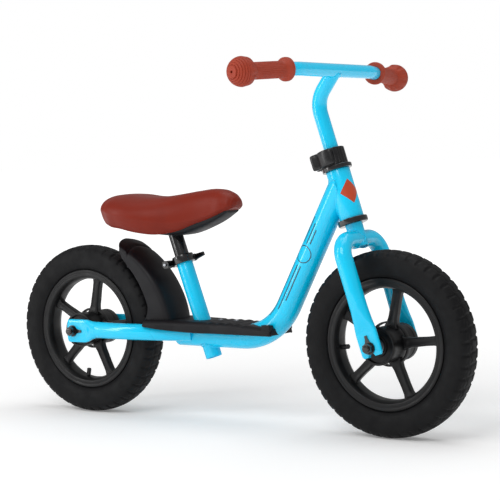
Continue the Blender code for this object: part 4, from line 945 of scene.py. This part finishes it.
def pad_surface(rows=120, count=96):
    """The saddle cover: at each place along it a section from its crown, over full sides
    that pull in towards the lower edge, and across a flat underside."""
    share = np.linspace(0, 1, rows)
    at = PAD[0, 0] + (PAD[-1, 0] - PAD[0, 0]) * (0.5 - 0.5 * np.cos(share * math.pi)) ** 0.95
    half, top, wide, low = through(PAD[:, 0], PAD[:, 1:], at).T
    t = np.linspace(0, math.pi, count // 2 + 1)
    across = np.sin(t)
    upper = np.cos(t) >= 0
    lift = np.abs(np.cos(t))
    y = np.where(upper, np.abs(across) ** 0.86, np.abs(across) ** 0.40 * (1 - 0.10 * lift ** 0.7))
    z = np.where(upper[None], wide[:, None] + (top - wide)[:, None] * lift[None] ** 0.96,
                 wide[:, None] - (wide - low)[:, None] * np.minimum(lift[None] * 1.35, 1.0))
    dish = 0.0016 * np.exp(-((at[:, None] + 0.150) / 0.055) ** 2) * np.exp(-(y[None] / 0.35) ** 2)
    z = z - dish * upper[None]
    yy = half[:, None] * y[None]
    left = grid_of(at[:, None], yy, z)
    right = left[:, -2:0:-1] * np.array([1, -1, 1])
    return np.concatenate([left, right], 1)


def make_saddle_pad():
    """The padded cover: a smooth crowned skin over full sides."""
    grid = pad_surface()
    obj = Shape().skin(grid, caps=(True, True)).make("saddle_cover_pad", 60)
    soft = obj.modifiers.new("Soft", "SUBSURF")
    soft.levels = soft.render_levels = 1
    fit(obj, "seat", "saddle", "saddle_pad")


def make_saddle_pan():
    """Plastic pan under the pad: its section narrows towards the nose."""
    table = np.array([  # x, half width, underside, top
        (-0.2280, 0.0460, 0.3500, 0.3600), (-0.2000, 0.0590, 0.3420, 0.3560),
        (-0.1600, 0.0570, 0.3310, 0.3540), (-0.1300, 0.0460, 0.3250, 0.3560),
        (-0.0850, 0.0340, 0.3248, 0.3580), (-0.0450, 0.0265, 0.3365, 0.3600),
        (-0.0100, 0.0220, 0.3520, 0.3680), (0.0080, 0.0185, 0.3630, 0.3730)])
    at = np.linspace(table[0, 0], table[-1, 0], 60)
    half, low, top = through(table[:, 0], table[:, 1:], at).T
    c, s = ring(48, 3.6)
    y = half[:, None] * c[None]
    z = (low + top)[:, None] / 2 + (top - low)[:, None] / 2 * s[None]
    grid = grid_of(at[:, None], y, z)
    shape = Shape().skin(grid, caps=(True, True))
    fit(shape.make("saddle_pan"), "seat", "guard", "saddle_base")


def make_seat_post():
    """The post: a pipe that ends inside the seat tube at every height of the saddle."""
    pipe = turned(pipe_profile(POST_R, 0.0108, 0.0640, 0.2060), SEAT, steps=56)
    fit(Shape().skin(pipe, loop_u=True).make("seat_post_lacquered"), "seat", "gloss", "seat_post")


def make_seat_clamp():
    """Clamp ring with two ears behind it, its ribbed adjusting nut and its cam lever."""
    level, behind = 0.1370, -0.0245
    section = rounded([(0.0131, 0.1333), (0.0150, 0.1333), (0.0150, 0.1300), (0.0190, 0.1300),
                       (0.0190, 0.1440), (0.0131, 0.1440)], 0.0009, 3, True)
    shape = Shape().skin(turned(section, SEAT, steps=72), loop_u=True)
    thick, tall = [0.0032, 0.0030, 0.0030, 0.0027, 0.0018], [0.0062, 0.0062, 0.0060, 0.0054, 0.0040]
    for y in (0.0045, -0.0045):
        path = [(x, y, level) for x in (-0.0150, -0.0180, -0.0280, -0.0294, -0.0300)]
        shape.skin(to_world(sweep(path, (0, 1, 0), thick, tall, 4.0, 28), SEAT), caps=(True, True))
    fit(shape.make("seat_clamp_ring"), "frame", "gloss", "seat_clamp")
    h = np.linspace(-0.0225, -0.0080, 60)
    r = 0.0061 + 0.0009 * np.sign(np.sin(TAU * (h + 0.0225) / 0.0036 + 0.6))
    nut = np.vstack([[(0.0, h[0])], np.stack([r, h], -1), [(0.0, h[-1])]])
    obj = Shape().skin(turned(nut, SEAT, "y", 40, (behind, 0, level))).make("seat_clamp_thumb_nut", 30)
    fit(obj, "frame", "gloss", "seat_clamp_nut")
    path = rounded([(-0.0275, 0.0150, level), (-0.0200, 0.0158, level), (-0.0080, 0.0225, level),
                    (0.0080, 0.0240, level), (0.0280, 0.0244, level)], [0, 0.02, 0.03, 0.05, 0], 8)
    share = np.linspace(0, 1, len(path))
    half_z = np.interp(share, [0, 0.06, 0.5, 0.85, 0.95, 1], [0.0040, 0.0057, 0.0058, 0.0066, 0.0060, 0.0036])
    half_y = np.interp(share, [0, 0.06, 0.3, 0.85, 0.95, 1], [0.0040, 0.0058, 0.0038, 0.0044, 0.0040, 0.0026])
    lever = Shape().skin(to_world(sweep(path, (0, 0, 1), half_z, half_y, 3.0, 36), SEAT), caps=(True, True))
    low, high, cam_r = 0.1312, 0.1428, 0.0066
    cam = rounded([(0, low), (cam_r, low), (cam_r, high), (0, high)], [0, 0.001, 0.001, 0], 3)
    lever.skin(turned(cam, SEAT, steps=40, shift=(behind, 0.0150, 0)))
    fit(lever.make("seat_clamp_lever_black"), "seat_lever", "gloss", "seat_clamp_lever")
    repaint("seat_clamp_bolt", "zinc")


# --- stage -------------------------------------------------------------------------------
def add_light(name, at, target, size, power, size_y=None):
    """A soft area light that faces its target."""
    data = bpy.data.lights.new(name, "AREA")
    data.shape, data.size, data.energy = "RECTANGLE", size, power
    data.size_y = size_y or size
    obj = bpy.data.objects.new(name, data)
    bpy.context.scene.collection.objects.link(obj)
    back = np.array(at, float) - np.array(target, float)
    z = back / np.linalg.norm(back)
    x = np.cross([0, 0, 1.0], z)
    x = x / np.linalg.norm(x)
    obj.matrix_world = matrix(x, np.cross(z, x), z, at)


def matrix(x, y, z, at):
    """A placing matrix from three directions and a place."""
    m = np.eye(4)
    m[:3, 0], m[:3, 1], m[:3, 2], m[:3, 3] = x, y, z, at
    return Matrix(m.tolist())


def make_stage():
    """Pale floor, a white room that lights softly, three area lights and a camera."""
    far = 60
    flat = np.array([[[-far, -far, 0], [far, -far, 0]], [[-far, far, 0], [far, far, 0]]], float)
    floor = Shape().skin(flat, loop_v=False).make("studio_floor")
    made = bpy.data.materials.new("matt_white_paper")
    made.use_nodes = True
    tree = made.node_tree
    place = node(tree, "ShaderNodeTexCoord").outputs["Object"]
    drift = node(tree, "ShaderNodeTexNoise", {"Scale": 1.5, "Detail": 1.0}, {"Vector": place})
    tone = node(tree, "ShaderNodeMix", {"data_type": "RGBA", 6: srgb("#F6F6F6"), 7: srgb("#FAFAFA")},
                {0: drift.outputs["Fac"]})
    shader = tree.nodes["Principled BSDF"]
    tree.links.new(tone.outputs[2], shader.inputs["Base Color"])
    shader.inputs["Roughness"].default_value = 0.9
    shader.inputs["Specular IOR Level"].default_value = 0.1
    shader.inputs["Emission Color"].default_value = (1, 1, 1, 1)
    away = node(tree, "ShaderNodeVectorMath", {"operation": "LENGTH"}, {0: place}).outputs["Value"]
    glow = node(tree, "ShaderNodeMapRange",
                {"From Min": 0.5, "From Max": 3.0, "To Min": 0.16, "To Max": 0.80}, {"Value": away})
    tree.links.new(glow.outputs["Result"], shader.inputs["Emission Strength"])
    floor.data.materials.append(made)

    world = bpy.data.worlds.new("soft_room")
    bpy.context.scene.world = world
    world.use_nodes = True
    room = world.node_tree.nodes["Background"]
    room.inputs["Color"].default_value = (1, 1, 1, 1)
    seen = node(world.node_tree, "ShaderNodeLightPath").outputs["Is Camera Ray"]
    level = node(world.node_tree, "ShaderNodeMapRange", {"To Min": 0.36, "To Max": 1.0}, {"Value": seen})
    world.node_tree.links.new(level.outputs["Result"], room.inputs["Strength"])

    add_light("key", (0.6, -2.6, 2.6), (0, 0, 0.3), 1.6, 38)
    add_light("strip_left", (-1.6, -1.7, 1.1), (0.1, 0, 0.35), 0.35, 16, size_y=1.8)
    add_light("top", (0.2, 0.3, 2.8), (0, 0, 0.2), 2.2, 26)

    camera = bpy.data.cameras.new("photo_view")
    camera.sensor_width = 36
    camera.lens = 1614.9 / 500 * 36
    camera.clip_start, camera.clip_end = 0.05, 50
    obj = bpy.data.objects.new("photo_view", camera)
    bpy.context.scene.collection.objects.link(obj)
    azimuth, elevation, roll, distance = 0.6154, 0.0614, -0.0262, 2.742
    target = np.array([0.0426, 0, 0.2993])
    back = np.array([math.sin(azimuth) * math.cos(elevation), -math.cos(azimuth) * math.cos(elevation),
                     math.sin(elevation)])
    right = np.array([math.cos(azimuth), math.sin(azimuth), 0])
    up = np.cross(back, right)
    x = math.cos(roll) * right + math.sin(roll) * up
    y = -math.sin(roll) * right + math.cos(roll) * up
    obj.matrix_world = matrix(x, y, back, target + back * distance)
    bpy.context.scene.camera = obj
    bpy.context.scene.view_settings.view_transform = "Standard"


# --- settings, operators, panel ------------------------------------------------------------
def colour_property(name, code, description):
    """A colour that the user can change, its default given as a hex code."""
    value = [int(code[i:i + 2], 16) / 255 for i in (1, 3, 5)]
    return FloatVectorProperty(name=name, description=description, subtype="COLOR_GAMMA", size=3,
                               min=0, max=1, default=value)


class BikeColours(bpy.types.PropertyGroup):
    """Colours of the enamel, the grips and the saddle"""
    paint: colour_property("Paint", "#00D2FA", "Colour of the frame's enamel")
    paint_deep: colour_property("Paint, deep", "#00C8F6", "Second tone that the enamel drifts to")
    grip: colour_property("Grips", "#96341F", "Colour of the grips")
    grip_deep: colour_property("Grips, deep", "#A13D27", "Second tone of the grips")
    saddle: colour_property("Saddle", "#7E2009", "Colour of the saddle's cover")
    saddle_deep: colour_property("Saddle, deep", "#731B08", "Second tone of the saddle's cover")


class BikeSizes(bpy.types.PropertyGroup):
    """Tread and spoke settings of the wheels"""
    lugs: IntProperty(name="Tread lugs", description="Shoulder lugs round each side of a tyre",
                      default=48, min=20, max=90)
    rear_spoke: FloatProperty(name="Rear spoke", subtype="ANGLE", default=math.radians(8),
                              description="Angle of the rear wheel's first spoke above forwards")
    front_spoke: FloatProperty(name="Front spoke", subtype="ANGLE", default=math.radians(6),
                               description="Angle of the front wheel's first spoke above forwards")


class BIKE_OT_frame(bpy.types.Operator):
    """Add the painted frame tubes and their welds"""
    bl_idname = "bike.frame"
    bl_label = "Frame"

    def execute(self, context):
        make_main_tube()
        make_head_tube()
        make_seat_tube()
        make_stay("right", -1)
        make_stay("left", 1)
        make_brackets()
        for name in ("upper_headset_bearing", "lower_headset_bearing", "footrest_front_screw",
                     "footrest_rear_screw"):
            repaint(name, "zinc")
        return {"FINISHED"}


class BIKE_OT_plastics(bpy.types.Operator):
    """Add the footrest board and the rear mudguard"""
    bl_idname = "bike.plastics"
    bl_label = "Footrest and Mudguard"

    def execute(self, context):
        make_footrest()
        make_mudguard()
        return {"FINISHED"}


class BIKE_OT_decals(bpy.types.Operator):
    """Add the plain stripes, ring and diamond"""
    bl_idname = "bike.decals"
    bl_label = "Decals"

    def execute(self, context):
        make_decals()
        return {"FINISHED"}


class BIKE_OT_wheels(bpy.types.Operator):
    """Add both wheels with their tyres, valves and axles"""
    bl_idname = "bike.wheels"
    bl_label = "Wheels"

    def execute(self, context):
        sizes = context.scene.bike_sizes
        for end, place, first, outer, body in (("rear", REAR, sizes.rear_spoke, 0.0570, "frame"),
                                               ("front", FRONT, sizes.front_spoke, 0.0632, "fork")):
            make_wheel(end, place, first)
            make_tyre(end, place, sizes.lugs)
            make_axle(end, place, outer, body)
            repaint(end + "_inner_tube", "tyre")
            repaint(end + "_valve_cap", "clamp")
            for word in ("left", "right"):
                repaint("%s_%s_bearing" % (end, word), "zinc")
        return {"FINISHED"}


class BIKE_OT_fork(bpy.types.Operator):
    """Add the fork, the headset cups and the handlebar clamp"""
    bl_idname = "bike.fork"
    bl_label = "Fork and Headset"

    def execute(self, context):
        make_leg("right", -1)
        make_leg("left", 1)
        make_steering_rings()
        make_bar_clamp()
        return {"FINISHED"}


class BIKE_OT_bars(bpy.types.Operator):
    """Add the stem, the handlebar and its grips"""
    bl_idname = "bike.bars"
    bl_label = "Handlebar"

    def execute(self, context):
        make_bars()
        make_grip("right", -1)
        make_grip("left", 1)
        return {"FINISHED"}


class BIKE_OT_seat(bpy.types.Operator):
    """Add the saddle, its post and its clamp"""
    bl_idname = "bike.seat"
    bl_label = "Seat"

    def execute(self, context):
        make_saddle_pad()
        make_saddle_pan()
        make_seat_post()
        make_seat_clamp()
        repaint("saddle_bolt", "zinc")
        return {"FINISHED"}


class BIKE_OT_stage(bpy.types.Operator):
    """Add the floor, the lights and the camera"""
    bl_idname = "bike.stage"
    bl_label = "Stage"

    def execute(self, context):
        make_stage()
        return {"FINISHED"}


OPERATORS = (BIKE_OT_stage, BIKE_OT_frame, BIKE_OT_plastics, BIKE_OT_decals, BIKE_OT_wheels, BIKE_OT_fork,
             BIKE_OT_bars, BIKE_OT_seat)


class BIKE_PT_panel(bpy.types.Panel):
    """Lists the bike's operators"""
    bl_idname = "BIKE_PT_panel"
    bl_label = "Balance Bike"
    bl_space_type = "VIEW_3D"
    bl_region_type = "UI"
    bl_category = "Bike"

    def draw(self, context):
        for group in (context.scene.bike_colours, context.scene.bike_sizes):
            for key in group.bl_rna.properties.keys():
                if key not in ("rna_type", "name"):
                    self.layout.prop(group, key)
        for operator in OPERATORS:
            self.layout.operator(operator.bl_idname)


CLASSES = (BikeColours, BikeSizes, *OPERATORS, BIKE_PT_panel)


def register():
    """Adds the classes, and the settings to the scene."""
    for kind in CLASSES:
        bpy.utils.register_class(kind)
    bpy.types.Scene.bike_colours = PointerProperty(type=BikeColours)
    bpy.types.Scene.bike_sizes = PointerProperty(type=BikeSizes)


def unregister():
    """Takes the settings and the classes away again."""
    del bpy.types.Scene.bike_sizes
    del bpy.types.Scene.bike_colours
    for kind in reversed(CLASSES):
        bpy.utils.unregister_class(kind)


def main():
    """Registers the add-on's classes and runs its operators."""
    register()
    for call in (bpy.ops.bike.stage, bpy.ops.bike.frame, bpy.ops.bike.plastics, bpy.ops.bike.decals,
                 bpy.ops.bike.wheels, bpy.ops.bike.fork, bpy.ops.bike.bars, bpy.ops.bike.seat):
        call()


if __name__ == "__main__":
    main()
